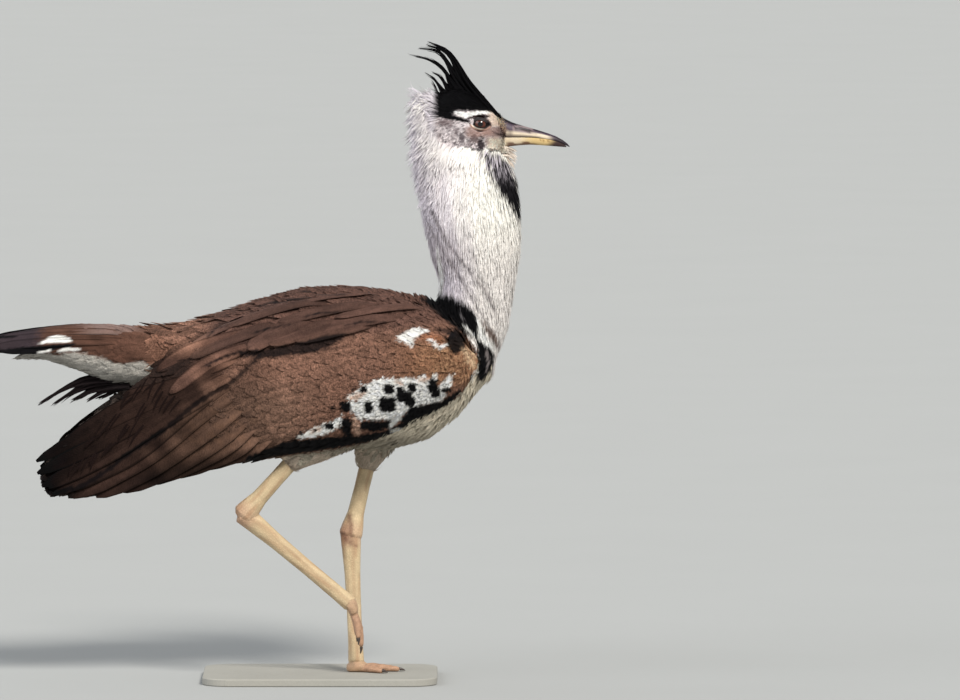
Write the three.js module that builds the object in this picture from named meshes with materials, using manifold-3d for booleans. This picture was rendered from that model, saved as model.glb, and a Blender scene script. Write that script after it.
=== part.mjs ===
// A life-size adult male kori bustard (Ardeotis kori), walking, on its left foot, with its neck feathers puffed out.
// It stands on a plain flat base, because its weight lies behind that foot.
// Millimetres. +X is the way the bird faces, +Y its left side, +Z up.
// The origin is on the underside of the base, straight below the standing foot.
// The heights of the bird count from the top of the base, and the whole bird is lifted onto it at the end.
import * as THREE from "three";
import { mergeVertices } from "three/addons/utils/BufferGeometryUtils.js";
import Module from "manifold-3d";

const wasm = await Module();
wasm.setup();

// Driving sizes
const GAP = 0.3; // between neighbouring pieces
const BACK_HEIGHT = 622;
const BELLY_HEIGHT = 355;
const TRUNK_HALF_WIDTH = 125;
const NECK_HALF_WIDTH = 62;
const HEAD_HALF_WIDTH = 34;
const EYE_RADIUS = 13;
const EYE = new THREE.Vector3(199, 24, 880);
const BILL_TIP = new THREE.Vector3(342, 0, 842);
const GAPE_HEIGHT = 856; // where the two halves of the bill part, at the face
const TARSUS_RADIUS = 11.8;
const TOE_LENGTH = { inner: 50, middle: 66, outer: 52 };
const TOE_WIDTH = 15;
const CLAW_LENGTH = 13;
const BASE = { rear: -245, front: 130, halfWidth: 130, thickness: 12, corner: 45, edge: 1.5 };

const COLOURS = {
  brown: 0x6b5344,
  darkBrown: 0x46362f,
  white: 0xe4dfd8,
  grey: 0x9d968f,
  black: 0x17151a,
  straw: 0xd9c48c,
  horn: 0x4a4548,
  ivory: 0xd8c9a0,
  claw: 0x2c2724,
  eye: 0x4a2412,
  stand: 0xb9b4aa,
};
const MATERIALS = {
  plumageBrown: plumage(COLOURS.brown),
  plumageDark: plumage(COLOURS.darkBrown),
  plumageWhite: plumage(COLOURS.white),
  plumageGrey: plumage(COLOURS.grey),
  plumageBlack: plumage(COLOURS.black),
  legSkin: new THREE.MeshStandardMaterial({ color: COLOURS.straw, roughness: 0.6, metalness: 0 }),
  billHorn: new THREE.MeshStandardMaterial({ color: COLOURS.horn, roughness: 0.45, metalness: 0 }),
  billIvory: new THREE.MeshStandardMaterial({ color: COLOURS.ivory, roughness: 0.45, metalness: 0 }),
  clawHorn: new THREE.MeshStandardMaterial({ color: COLOURS.claw, roughness: 0.4, metalness: 0 }),
  eye: new THREE.MeshStandardMaterial({ color: COLOURS.eye, roughness: 0.05, metalness: 0 }),
  stand: new THREE.MeshStandardMaterial({ color: COLOURS.stand, roughness: 0.7, metalness: 0 }),
};

function plumage(color) {
  return new THREE.MeshStandardMaterial({ color, roughness: 0.85, metalness: 0 });
}

// The value at t, from 0 to values.length - 1, of a smooth curve through evenly spaced values.
function along(values, t) {
  const last = values.length - 1;
  const i = Math.min(Math.floor(t), last - 1);
  const f = t - i;
  const [a, b, c, d] = [i - 1, i, i + 1, i + 2].map((k) => values[Math.max(0, Math.min(last, k))]);
  const tangentIn = (c - a) / 2;
  const tangentOut = (d - b) / 2;
  const f2 = f * f;
  const f3 = f2 * f;
  return (
    b * (2 * f3 - 3 * f2 + 1) + c * (3 * f2 - 2 * f3) + tangentIn * (f3 - 2 * f2 + f) + tangentOut * (f3 - f2)
  );
}

// Numbers are read along a list of stations, each an object with the same keys.
function stationAt(stations, t) {
  const found = {};
  for (const key of Object.keys(stations[0])) {
    found[key] = along(stations.map((s) => s[key]), t);
  }
  return found;
}

// A station of a body that is cut across the X axis: its top and bottom heights and its half width at y.
function slice(x, top, bottom, halfWidth, y = 0) {
  return { x, y, z: (top + bottom) / 2, width: halfWidth, depth: (top - bottom) / 2 };
}

// A station of a bent body: a point of its centre line, with its half width across Y and its half depth.
function bend(x, y, z, width, depth) {
  return { x, y, z, width, depth };
}

// Closed skin over stations. upright keeps every section square to X, or else it is square to the centre line.
// power shapes the sections: 2 is an ellipse. domes are the lengths by which the two ends round off.
// grow swells the whole body. floor, if given, is a height that flattens what would lie below it.
function loft(stations, { sides = 12, steps = 1, upright = false, power = 2, domes = [6, 6], grow = 0, floor } = {}) {
  const count = (stations.length - 1) * steps + 1;
  const samples = Array.from({ length: count }, (_, i) => stationAt(stations, i / steps));
  const centres = samples.map((s) => new THREE.Vector3(s.x, s.y, s.z));
  const frames = centres.map((centre, i) => {
    const before = centres[Math.max(0, i - 1)];
    const after = centres[Math.min(count - 1, i + 1)];
    const ahead = upright
      ? new THREE.Vector3(Math.sign(after.x - before.x), 0, 0)
      : after.clone().sub(before).normalize();
    const side = new THREE.Vector3(0, 1, 0).addScaledVector(ahead, -ahead.y).normalize();
    const up = new THREE.Vector3().crossVectors(ahead, side);
    return { centre, ahead, side, up, width: samples[i].width + grow, depth: samples[i].depth + grow };
  });
  const DOME_STEPS = sides > 12 ? [0.55, 0.87] : [0.75];
  const dome = (frame, length) =>
    DOME_STEPS.map((share) => {
      const shrink = Math.sqrt(1 - share * share);
      return {
        ...frame,
        centre: frame.centre.clone().addScaledVector(frame.ahead, share * length),
        width: frame.width * shrink,
        depth: frame.depth * shrink,
      };
    });
  const [startDome, endDome] = domes.map((length) => length + grow);
  const rings = [...dome(frames[0], -startDome).reverse(), ...frames, ...dome(frames[count - 1], endDome)];
  const points = [];
  for (const { centre, side, up, width, depth } of rings) {
    for (let k = 0; k < sides; k++) {
      const angle = (2 * Math.PI * k) / sides;
      const shaped = [Math.cos(angle), Math.sin(angle)].map((c) => Math.sign(c) * Math.abs(c) ** (2 / power));
      const point = centre.clone().addScaledVector(side, shaped[0] * width).addScaledVector(up, shaped[1] * depth);
      points.push(point);
    }
  }
  const startTip = frames[0].centre.clone().addScaledVector(frames[0].ahead, -startDome);
  const endTip = frames[count - 1].centre.clone().addScaledVector(frames[count - 1].ahead, endDome);
  const startIndex = points.push(startTip) - 1;
  const endIndex = points.push(endTip) - 1;
  if (floor !== undefined) {
    for (const point of points) point.z = Math.max(point.z, floor);
  }
  const faces = [];
  for (let r = 0; r < rings.length - 1; r++) {
    for (let k = 0; k < sides; k++) {
      const a = r * sides + k;
      const b = r * sides + ((k + 1) % sides);
      faces.push(a, b, b + sides, a, b + sides, a + sides);
    }
  }
  const lastRing = (rings.length - 1) * sides;
  for (let k = 0; k < sides; k++) {
    const next = (k + 1) % sides;
    faces.push(next, k, startIndex, lastRing + k, lastRing + next, endIndex);
  }
  const geometry = new THREE.BufferGeometry().setFromPoints(points);
  geometry.setIndex(faces);
  return solidOf(geometry);
}

function solidOf(geometry) {
  const bare = geometry.clone();
  bare.deleteAttribute("normal");
  bare.deleteAttribute("uv");
  const merged = mergeVertices(bare, 1e-3);
  const vertProperties = new Float32Array(merged.attributes.position.array);
  const triVerts = new Uint32Array(merged.index.array);
  const solid = new wasm.Manifold(new wasm.Mesh({ numProp: 3, vertProperties, triVerts }));
  if (solid.volume() > 0) return solid;
  for (let i = 0; i < triVerts.length; i += 3) {
    [triVerts[i + 1], triVerts[i + 2]] = [triVerts[i + 2], triVerts[i + 1]];
  }
  return new wasm.Manifold(new wasm.Mesh({ numProp: 3, vertProperties, triVerts }));
}

function ball(centre, radius) {
  const geometry = new THREE.SphereGeometry(radius, 12, 8);
  geometry.translate(centre.x, centre.y, centre.z);
  return solidOf(geometry);
}

// The largest single body of a solid, so that a cut leaves no crumbs.
function largest(solid) {
  return solid.decompose().sort((a, b) => b.volume() - a.volume())[0];
}

function cut(solid, ...tools) {
  return largest(tools.reduce((left, tool) => left.subtract(tool), solid));
}

function join(...solids) {
  return solids.reduce((whole, solid) => whole.add(solid));
}

function mirrored(solid) {
  return solid.mirror([0, 1, 0]);
}

function mesh(name, solid, material) {
  const { vertProperties, triVerts, numProp } = solid.getMesh();
  const positions = [];
  for (let i = 0; i < vertProperties.length; i += numProp) {
    positions.push(vertProperties[i], vertProperties[i + 1], vertProperties[i + 2]);
  }
  const geometry = new THREE.BufferGeometry();
  geometry.setAttribute("position", new THREE.Float32BufferAttribute(positions, 3));
  geometry.setIndex(new THREE.BufferAttribute(triVerts, 1));
  geometry.computeVertexNormals();
  const made = new THREE.Mesh(geometry, material);
  made.name = name;
  return made;
}

function trunk(grow = 0) {
  const w = TRUNK_HALF_WIDTH;
  const stations = [
    slice(-318, 556, 478, w * 0.28),
    slice(-284, 560, 452, w * 0.42),
    slice(-227, 573, 420, w * 0.62),
    slice(-160, 595, 388, w * 0.82),
    slice(-86, 616, 364, w * 0.95),
    slice(-15, BACK_HEIGHT, BELLY_HEIGHT, w),
    slice(60, 615, BELLY_HEIGHT, w * 0.98),
    slice(118, 598, 371, w * 0.9),
    slice(165, 574, 408, w * 0.74),
    slice(203, 545, 456, w * 0.5),
  ];
  return loft(stations, { sides: 22, upright: true, power: 2.2, domes: [14, 24], grow });
}

// The folded right wing: the arm with its coverts in front, the long flight feathers behind.
function wholeWing(grow = 0) {
  const stations = [
    slice(190, 530, 480, 14, -84),
    slice(168, 565, 449, 38, -80),
    slice(128, 592, 420, 60, -76),
    slice(76, 607, 391, 72, -73),
    slice(15, 614, 367, 77, -72),
    slice(-52, 612, 353, 77, -72),
    slice(-118, 600, 346, 71, -74),
    slice(-172, 581, 338, 62, -77),
    slice(-224, 555, 331, 50, -79),
    slice(-278, 521, 319, 38, -80),
    slice(-335, 484, 303, 28, -78),
    slice(-392, 444, 286, 20, -74),
    slice(-444, 400, 279, 14, -68),
    slice(-490, 354, 281, 9, -61),
  ];
  return loft(stations, { sides: 16, upright: true, domes: [14, 16], grow });
}

function neck(grow = 0) {
  const w = NECK_HALF_WIDTH;
  const stations = [
    bend(165, 0, 505, w * 0.95, 58),
    bend(186, 0, 566, w * 0.92, 60),
    bend(194, 0, 622, w * 0.92, 61),
    bend(192, 0, 672, w, 73),
    bend(187, 0, 722, w * 1.03, 78),
    bend(181, 0, 776, w * 0.9, 79),
    bend(168, 0, 820, w * 0.62, 76),
    bend(143, 0, 862, w * 0.46, 58),
    bend(118, 0, 900, w * 0.34, 36),
    bend(96, 0, 930, w * 0.18, 13),
  ];
  return loft(stations, { sides: 16, domes: [10, 9], grow });
}

function head(grow = 0) {
  const w = HEAD_HALF_WIDTH;
  const stations = [
    slice(128, 925, 848, w * 0.7),
    slice(150, 939, 836, w * 0.95),
    slice(176, 936, 829, w * 1.04),
    slice(200, 922, 827, w),
    slice(222, 902, 829, w * 0.82),
    slice(240, 886, 832, w * 0.6),
  ];
  return loft(stations, { sides: 14, upright: true, power: 2.15, domes: [14, 15], grow });
}

// Black crown feathers that sweep up and back into three pointed plumes.
function crest(grow = 0) {
  const crown = [
    bend(186, 0, 894, 22, 40),
    bend(169, 0, 918, 22, 37),
    bend(155, 0, 946, 17, 25),
    bend(152, 0, 970, 12, 14),
    bend(142, 0, 989, 8, 10),
    bend(127, 0, 1001, 4.5, 6),
    bend(116, 0, 1006, 2.4, 2.4),
  ];
  const middle = [
    bend(150, 0, 946, 9, 11),
    bend(138, 0, 964, 6.5, 7),
    bend(118, 0, 979, 4, 4.5),
    bend(88, 0, 986, 2, 2),
  ];
  const low = [
    bend(144, 0, 914, 12, 15),
    bend(132, 0, 934, 8, 9),
    bend(118, 0, 950, 5, 5),
    bend(103, 0, 959, 2, 2),
  ];
  return join(
    loft(crown, { sides: 10, domes: [4, 6], grow }),
    loft(middle, { sides: 8, domes: [2, 4], grow }),
    loft(low, { sides: 8, domes: [2, 4], grow }),
  );
}

// Both halves of the bill run out to the tip. The culmen bends down over the last third.
function upperBill(grow = 0) {
  const stations = [
    slice(224, 893, GAPE_HEIGHT, 15),
    slice(246, 882, GAPE_HEIGHT, 13.5),
    slice(272, 874, GAPE_HEIGHT - 1, 11),
    slice(300, 866, GAPE_HEIGHT - 4, 8.5),
    slice(322, 858, GAPE_HEIGHT - 9, 5.5),
    slice(BILL_TIP.x - 6, 849, BILL_TIP.z - 1, 2.4),
  ];
  return loft(stations, { sides: 12, upright: true, power: 2.3, domes: [2, 6], grow });
}

function lowerBill(grow = 0) {
  const stations = [
    slice(224, GAPE_HEIGHT - 1, 834, 14),
    slice(246, GAPE_HEIGHT - 1, 838, 12),
    slice(272, GAPE_HEIGHT - 2, 841, 9.5),
    slice(300, GAPE_HEIGHT - 5, 841, 7),
    slice(326, GAPE_HEIGHT - 11, 840.5, 3.2),
  ];
  return loft(stations, { sides: 12, upright: true, power: 2.3, domes: [2, 6], grow });
}

function tail(grow = 0) {
  const stations = [
    slice(-270, 556, 470, 44),
    slice(-330, 557, 458, 52),
    slice(-392, 560, 462, 54),
    slice(-448, 560, 486, 54),
    slice(-496, 554, 502, 55),
    slice(-545, 545, 502, 55),
    slice(-592, 536, 504, 52),
    slice(-616, 529, 508, 44),
  ];
  return loft(stations, { sides: 14, upright: true, power: 2.4, domes: [10, 14], grow });
}

// The long black plumes that hang out behind the vent, below the tail.
function ventPlume(grow = 0) {
  const stations = [
    bend(-350, 0, 470, 16, 14),
    bend(-400, 0, 456, 20, 20),
    bend(-452, 0, 446, 16, 15),
    bend(-498, 0, 431, 6, 5),
  ];
  return loft(stations, { sides: 10, domes: [4, 8], grow });
}

// A leg is named by its hip, where the thigh feathers end, its ankle and the root of its toes.
const LEGS = {
  left: {
    sign: 1,
    hip: new THREE.Vector3(46, 62, 430),
    cuff: new THREE.Vector3(17, 44, 326),
    ankle: new THREE.Vector3(-9, 28, 218),
    toeRoot: new THREE.Vector3(0, 1, 17),
  },
  right: {
    sign: -1,
    hip: new THREE.Vector3(10, -64, 430),
    cuff: new THREE.Vector3(-103, -62, 341),
    ankle: new THREE.Vector3(-178, -56, 257),
    toeRoot: new THREE.Vector3(-9, -46, 113),
  },
};

function between(a, b, share, width, depth) {
  const p = a.clone().lerp(b, share);
  return bend(p.x, p.y, p.z, width, depth);
}

function thigh(leg, grow = 0) {
  const stations = [
    between(leg.hip, leg.cuff, 0, 34, 48),
    between(leg.hip, leg.cuff, 0.4, 32, 44),
    between(leg.hip, leg.cuff, 0.72, 25, 31),
    between(leg.hip, leg.cuff, 1, 15, 16),
  ];
  return loft(stations, { sides: 14, domes: [10, 6], grow });
}

function shank(leg, grow = 0) {
  const stations = [
    between(leg.cuff, leg.ankle, -0.1, 12, 13),
    between(leg.cuff, leg.ankle, 0.3, 11.5, 12.5),
    between(leg.cuff, leg.ankle, 0.68, 12.5, 13.5),
    between(leg.cuff, leg.ankle, 0.9, 17, 18),
    between(leg.cuff, leg.ankle, 1, 17.5, 19),
  ];
  return loft(stations, { domes: [4, 10], grow });
}

function tarsus(leg, grow = 0) {
  const r = TARSUS_RADIUS;
  const stations = [
    between(leg.ankle, leg.toeRoot, -0.01, r * 1.3, r * 1.45),
    between(leg.ankle, leg.toeRoot, 0.12, r * 1.15, r * 1.3),
    between(leg.ankle, leg.toeRoot, 0.3, r * 0.9, r * 1.1),
    between(leg.ankle, leg.toeRoot, 0.62, r * 0.85, r),
    between(leg.ankle, leg.toeRoot, 0.88, r * 1.02, r * 1.02),
    between(leg.ankle, leg.toeRoot, 1, r * 1.18, r * 1.1),
  ];
  return loft(stations, { domes: [5, 3], grow });
}

// A foot is made flat on the ground, with the root of its toes over the origin, and its toes ahead of it.
const TOE_HEIGHT = 13;
const TOE_SPREAD = { inner: -1, middle: 0, outer: 1 };

function pad(grow = 0) {
  const stations = [
    bend(-12, 0, 6, 11, 8),
    bend(-4, 0, 8, 14, 11),
    bend(6, 0, 8, 16, 10),
    bend(15, 0, 7, 15, 8),
  ];
  return loft(stations, { sides: 12, upright: true, power: 2.3, domes: [4, 4], grow, floor: -grow });
}

// curl bends a toe down, in radians over its length. A toe on the ground has none and is flat underneath.
function toe(length, curl, grow = 0) {
  const SHAPE = [
    [0, 1.0, 1.0],
    [0.3, 0.86, 0.88],
    [0.55, 0.92, 0.9],
    [0.8, 0.78, 0.74],
    [1, 0.62, 0.56],
  ];
  const start = 8;
  const stations = SHAPE.map(([share, wide, high]) => {
    const sag = curl * share * share * length * 0.5;
    return bend(start + (length - start) * share, 0, (TOE_HEIGHT * high) / 2 - sag, (TOE_WIDTH / 2) * wide,
      (TOE_HEIGHT * high) / 2 + 0.8);
  });
  return loft(stations, { sides: 8, domes: [3, 4], grow, floor: curl ? undefined : -grow });
}

function claw(length, curl) {
  const sag = (share) => curl * share * share * length * 0.5;
  const from = length - 1;
  const stations = [
    bend(from, 0, 4.4 - sag(1), 3.8, 3.6),
    bend(from + CLAW_LENGTH * 0.55, 0, 3.7 - sag(1.12), 3, 2.6),
    bend(from + CLAW_LENGTH * 0.95, 0, 2.2 - sag(1.22), 1.4, 1.1),
  ];
  return loft(stations, { sides: 6, domes: [2, 2], floor: curl ? undefined : 0 });
}

function turned(solid, degrees) {
  return solid.rotate([0, 0, degrees]);
}

// legTool is the tarsus end, in the foot's own frame, that the foot has to clear.
function foot(side, { spread, curl, legTool }) {
  const group = new THREE.Group();
  const { sign } = LEGS[side];
  const sole = cut(pad(), legTool);
  group.add(mesh(`foot_${side}`, sole, MATERIALS.legSkin));
  const finished = [];
  for (const [name, turn] of Object.entries(TOE_SPREAD)) {
    const degrees = turn * spread * sign;
    const length = TOE_LENGTH[name];
    const clearance = [pad(GAP), legTool, ...finished];
    const body = cut(turned(toe(length, curl), degrees), ...clearance);
    const nail = cut(turned(claw(length, curl), degrees), turned(toe(length, curl, GAP), degrees));
    group.add(mesh(`toe_${side}_${name}`, body, MATERIALS.legSkin));
    group.add(mesh(`claw_${side}_${name}`, nail, MATERIALS.clawHorn));
    finished.push(turned(toe(length, curl, GAP), degrees));
  }
  return group;
}

function buildFeet(bird) {
  const left = LEGS.left;
  const right = LEGS.right;
  const standing = foot("left", { spread: 36, curl: 0, legTool: tarsus(left, GAP) });
  // The lifted foot hangs from its tarsus with its toes pointing down.
  const HANG = { pitch: 62, yaw: 4 };
  const placed = new THREE.Group();
  placed.position.set(right.toeRoot.x, right.toeRoot.y, right.toeRoot.z);
  placed.rotation.set(0, THREE.MathUtils.degToRad(HANG.pitch), THREE.MathUtils.degToRad(HANG.yaw), "ZYX");
  placed.updateMatrix();
  const ROOT_HEIGHT = 8; // of the toe root above the sole, in the foot's frame
  const inFoot = placed.matrix.clone().invert();
  const tool = tarsus(right, GAP).transform(inFoot.toArray()).translate([0, 0, ROOT_HEIGHT]);
  const hanging = foot("right", { spread: 14, curl: 0.34, legTool: tool });
  hanging.position.set(0, 0, -ROOT_HEIGHT);
  placed.add(hanging);
  bird.add(standing, placed);
}

function buildLegs(bird) {
  const bodyTools = [trunk(GAP), wholeWing(GAP), mirrored(wholeWing(GAP))];
  for (const [side, leg] of Object.entries(LEGS)) {
    const upper = cut(thigh(leg), ...bodyTools);
    const lower = cut(shank(leg), thigh(leg, GAP), ...bodyTools);
    const shin = cut(tarsus(leg), shank(leg, GAP));
    bird.add(mesh(`thigh_${side}`, upper, MATERIALS.plumageGrey));
    bird.add(mesh(`shank_${side}`, lower, MATERIALS.legSkin));
    bird.add(mesh(`tarsus_${side}`, shin, MATERIALS.legSkin));
  }
}

function buildWings(bird) {
  // A slanted cut parts the arm, with its coverts, from the flight feathers.
  const normal = new THREE.Vector3(1, 0, -0.55).normalize();
  const offset = normal.dot(new THREE.Vector3(-170, 0, 440));
  const body = trunk(GAP);
  for (const [side, shape] of [["right", wholeWing()], ["left", mirrored(wholeWing())]]) {
    const whole = cut(shape, body);
    const arm = largest(whole.trimByPlane(normal.toArray(), offset + GAP / 2));
    const flight = largest(whole.trimByPlane(normal.clone().negate().toArray(), -offset + GAP / 2));
    bird.add(mesh(`wing_${side}_arm`, arm, MATERIALS.plumageBrown));
    bird.add(mesh(`wing_${side}_flight`, flight, MATERIALS.plumageDark));
  }
}

const eyes = [EYE, new THREE.Vector3(EYE.x, -EYE.y, EYE.z)];
const sockets = eyes.map((centre) => ball(centre, EYE_RADIUS + GAP));

function buildHead(bird) {
  bird.add(mesh("head", cut(head(), ...sockets), MATERIALS.plumageWhite));
  bird.add(mesh("eye_left", ball(eyes[0], EYE_RADIUS), MATERIALS.eye));
  bird.add(mesh("eye_right", ball(eyes[1], EYE_RADIUS), MATERIALS.eye));
  bird.add(mesh("crest", cut(crest(), head(GAP), neck(GAP), ...sockets), MATERIALS.plumageBlack));
  bird.add(mesh("bill_upper", cut(upperBill(), head(GAP), crest(GAP)), MATERIALS.billHorn));
  bird.add(mesh("bill_lower", cut(lowerBill(), head(GAP), upperBill(GAP)), MATERIALS.billIvory));
}

function buildBody(bird) {
  const wings = [wholeWing(GAP), mirrored(wholeWing(GAP))];
  const base = new THREE.Group();
  base.add(mesh("trunk", trunk(), MATERIALS.plumageBrown));
  base.add(mesh("neck", cut(neck(), trunk(GAP), ...wings, head(GAP), ...sockets), MATERIALS.plumageWhite));
  base.add(mesh("tail", cut(tail(), trunk(GAP), ...wings), MATERIALS.plumageBrown));
  base.add(mesh("vent_plume", cut(ventPlume(), trunk(GAP), tail(GAP), ...wings), MATERIALS.plumageBlack));
  bird.add(base);
}

// A flat plate with round corners and a slightly rounded edge, from the floor up.
function standBase() {
  const { rear, front, halfWidth, thickness, corner, edge } = BASE;
  const outline = new THREE.Shape();
  outline.moveTo(rear + corner, -halfWidth);
  outline.absarc(front - corner, -halfWidth + corner, corner, -Math.PI / 2, 0);
  outline.absarc(front - corner, halfWidth - corner, corner, 0, Math.PI / 2);
  outline.absarc(rear + corner, halfWidth - corner, corner, Math.PI / 2, Math.PI);
  outline.absarc(rear + corner, -halfWidth + corner, corner, Math.PI, Math.PI * 1.5);
  const geometry = new THREE.ExtrudeGeometry(outline, {
    depth: thickness - 2 * edge,
    bevelThickness: edge,
    bevelSize: edge,
    bevelOffset: -edge,
    bevelSegments: 1,
    curveSegments: 5,
  });
  geometry.translate(0, 0, edge);
  return solidOf(geometry);
}

const bird = new THREE.Group();
buildBody(bird);
buildWings(bird);
buildHead(bird);
buildLegs(bird);
buildFeet(bird);
bird.position.z = BASE.thickness + GAP;

const figure = new THREE.Group();
figure.add(bird, mesh("stand_base", standBase(), MATERIALS.stand));

export default figure;
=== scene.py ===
import math

import bmesh
import bpy
import numpy as np
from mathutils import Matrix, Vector
from mathutils.bvhtree import BVHTree
from mathutils.kdtree import KDTree


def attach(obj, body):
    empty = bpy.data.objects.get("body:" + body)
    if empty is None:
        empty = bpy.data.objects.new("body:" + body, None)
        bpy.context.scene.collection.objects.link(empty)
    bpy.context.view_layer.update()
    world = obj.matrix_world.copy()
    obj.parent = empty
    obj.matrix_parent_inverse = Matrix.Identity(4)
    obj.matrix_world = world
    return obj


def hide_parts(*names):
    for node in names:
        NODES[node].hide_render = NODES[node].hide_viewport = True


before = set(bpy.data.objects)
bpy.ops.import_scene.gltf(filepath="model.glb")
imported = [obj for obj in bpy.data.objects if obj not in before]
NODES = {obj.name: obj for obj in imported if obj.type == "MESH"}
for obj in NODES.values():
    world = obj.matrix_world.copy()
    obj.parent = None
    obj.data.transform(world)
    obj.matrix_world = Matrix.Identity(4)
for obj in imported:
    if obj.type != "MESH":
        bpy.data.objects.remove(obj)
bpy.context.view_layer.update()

# The photograph: metres to the pixel, the pixel of the standing sole, and how far the camera looks down
PIXEL = 0.0016
SOLE_PX = (356.0, 672.0)
FRAME_CENTRE_PX = (480.0, 350.0)
IMAGE_WIDTH = 960  # in pixels
LIFT = 0.0123  # from the floor to the sole: the base and the gap over it
TILT = math.radians(4.0)
COS_TILT = math.cos(TILT)
SIN_TILT = math.sin(TILT)


def screen(points):
    """Pixels of points of the near side, and of the far side as if it were mirrored."""
    x = SOLE_PX[0] + points[..., 0] / PIXEL
    rise = (points[..., 2] - LIFT) * COS_TILT - np.abs(points[..., 1]) * SIN_TILT
    return x, SOLE_PX[1] - rise / PIXEL


def place(px, py, y=0.0):
    """The point at depth y on the near side (y below 0), or its mirror image, that shows at a pixel."""
    px, py, y = np.broadcast_arrays(np.asarray(px, float), py, y)
    z = ((SOLE_PX[1] - py) * PIXEL + np.abs(y) * SIN_TILT) / COS_TILT + LIFT
    return np.stack([(px - SOLE_PX[0]) * PIXEL, y, z], axis=-1)


# Numbers and colours
def smoothstep(low, high, x):
    t = np.clip((x - low) / (high - low), 0.0, 1.0)
    return t * t * (3 - 2 * t)


def unit(v):
    return v / np.maximum(np.linalg.norm(v, axis=-1, keepdims=True), 1e-12)


def lin(r, g, b):
    """Linear colour of an 8-bit sRGB one."""
    c = np.array([r, g, b], float) / 255.0
    return np.where(c <= 0.04045, c / 12.92, ((c + 0.055) / 1.055) ** 2.4)


def mix(a, b, share):
    share = np.asarray(share)[..., None]
    return a * (1 - share) + b * share


def wobble(points, size, seed=0.0):
    """Smooth noise from about -1 to 1, with bumps about one size across."""
    p = points * (2 * math.pi / size)
    a = np.sin(p[..., 0] * 0.83 + p[..., 2] * 0.57 + 1.7 * np.sin(p[..., 1] * 0.61 + seed) + seed * 3.1)
    b = np.sin(p[..., 1] * 0.91 - p[..., 0] * 0.44 + 1.3 * np.sin(p[..., 2] * 0.73 + seed * 2.3) + seed)
    c = np.sin(
        p[..., 2] * 0.97 + p[..., 1] * 0.35 + 1.5 * np.sin(p[..., 0] * 0.52 + seed * 1.9) + seed * 2.2)
    return (a + b + c) / 2.2


def polyline_distance(x, y, path, values=None):
    """Distance to a path of pixels and, if values are given, their value at the nearest place."""
    path = np.array(path, float)
    best = np.full(x.shape, 1e9)
    found = np.zeros(x.shape)
    for k in range(len(path) - 1):
        a, b = path[k], path[k + 1]
        d = b - a
        t = np.clip(((x - a[0]) * d[0] + (y - a[1]) * d[1]) / (d @ d), 0, 1)
        dist = np.hypot(x - a[0] - t * d[0], y - a[1] - t * d[1])
        near = dist < best
        best = np.where(near, dist, best)
        if values is not None:
            found = np.where(near, values[k] * (1 - t) + values[k + 1] * t, found)
    return best, found


WING_BROWN = lin(128, 94, 78)
WING_LOW = lin(126, 96, 80)
MANTLE = lin(91, 66, 57)
RUFOUS = lin(141, 101, 75)
REAR = lin(37, 25, 21)
WING_TIP = lin(15, 9, 8)
UNDERWING = lin(92, 80, 74)
BLACK = lin(8, 7, 9)
WHITE = lin(249, 247, 241)
CREAM = lin(204, 193, 172)
NECK_WHITE = lin(245, 241, 232)
NECK_LOW = lin(232, 226, 221)
NECK_GREY = lin(224, 215, 224)
NECK_REAR_SHADE = lin(196, 186, 190)
STREAK = lin(92, 80, 84)
CHEEK = lin(232, 220, 220)
LORES = lin(232, 212, 196)
TAIL_BROWN = lin(122, 88, 72)
TAIL_DARK = lin(92, 64, 52)
TAIL_GREY = lin(60, 50, 54)
UNDERTAIL = lin(184, 179, 170)
THIGH = lin(184, 168, 150)

TRUNK, NECK, HEAD, CREST, WING, THIGHS, TAIL = range(7)
SIDES = (("right", -1), ("left", 1))

# The chequered band's spots: middle and half sizes in pixels
BLACK_SPOTS = [(346, 406, 5.6, 5.4), (364.4, 389, 3.6, 3.4), (389.5, 388.8, 6, 5), (401, 390.8, 4.2, 4.4),
    (412.7, 387.2, 4.2, 4.8), (369, 407.2, 4.4, 6.2), (388, 404.3, 8.8, 7.8), (405, 397, 8, 6),
    (410.5, 401, 5.5, 5.5), (433, 386, 5.4, 7.6), (436, 393, 4.6, 5), (447, 390, 5.4, 2.6),
    (330.7, 425.7, 4.8, 3.3), (347.8, 423.9, 6, 6), (334, 407.4, 2, 2), (353.7, 389.6, 1.6, 1.8),
    (302.5, 433.5, 1.8, 3.6), (316, 430, 1.6, 2.2), (420.5, 391, 1.5, 1.5)]


def stroke(colour, paint, x, y, path, half, soft=1.0, ragged=0.0, strength=1.0):
    """Colour painted along a path of pixels, half wide at each of its points."""
    distance, reach = polyline_distance(x, y, path, np.broadcast_to(half, len(path)))
    return mix(colour, paint, strength * (1 - smoothstep(-soft, soft, distance - reach + ragged)))


def strokes(colour, x, y, ragged, rows):
    """Strokes in order: colour, path, half widths, softness, share of ragged, and strength if not 1."""
    for paint, path, half, soft, rough, *strength in rows:
        colour = stroke(colour, paint, x, y, path, half, soft, rough * ragged, *strength)
    return colour


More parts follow.
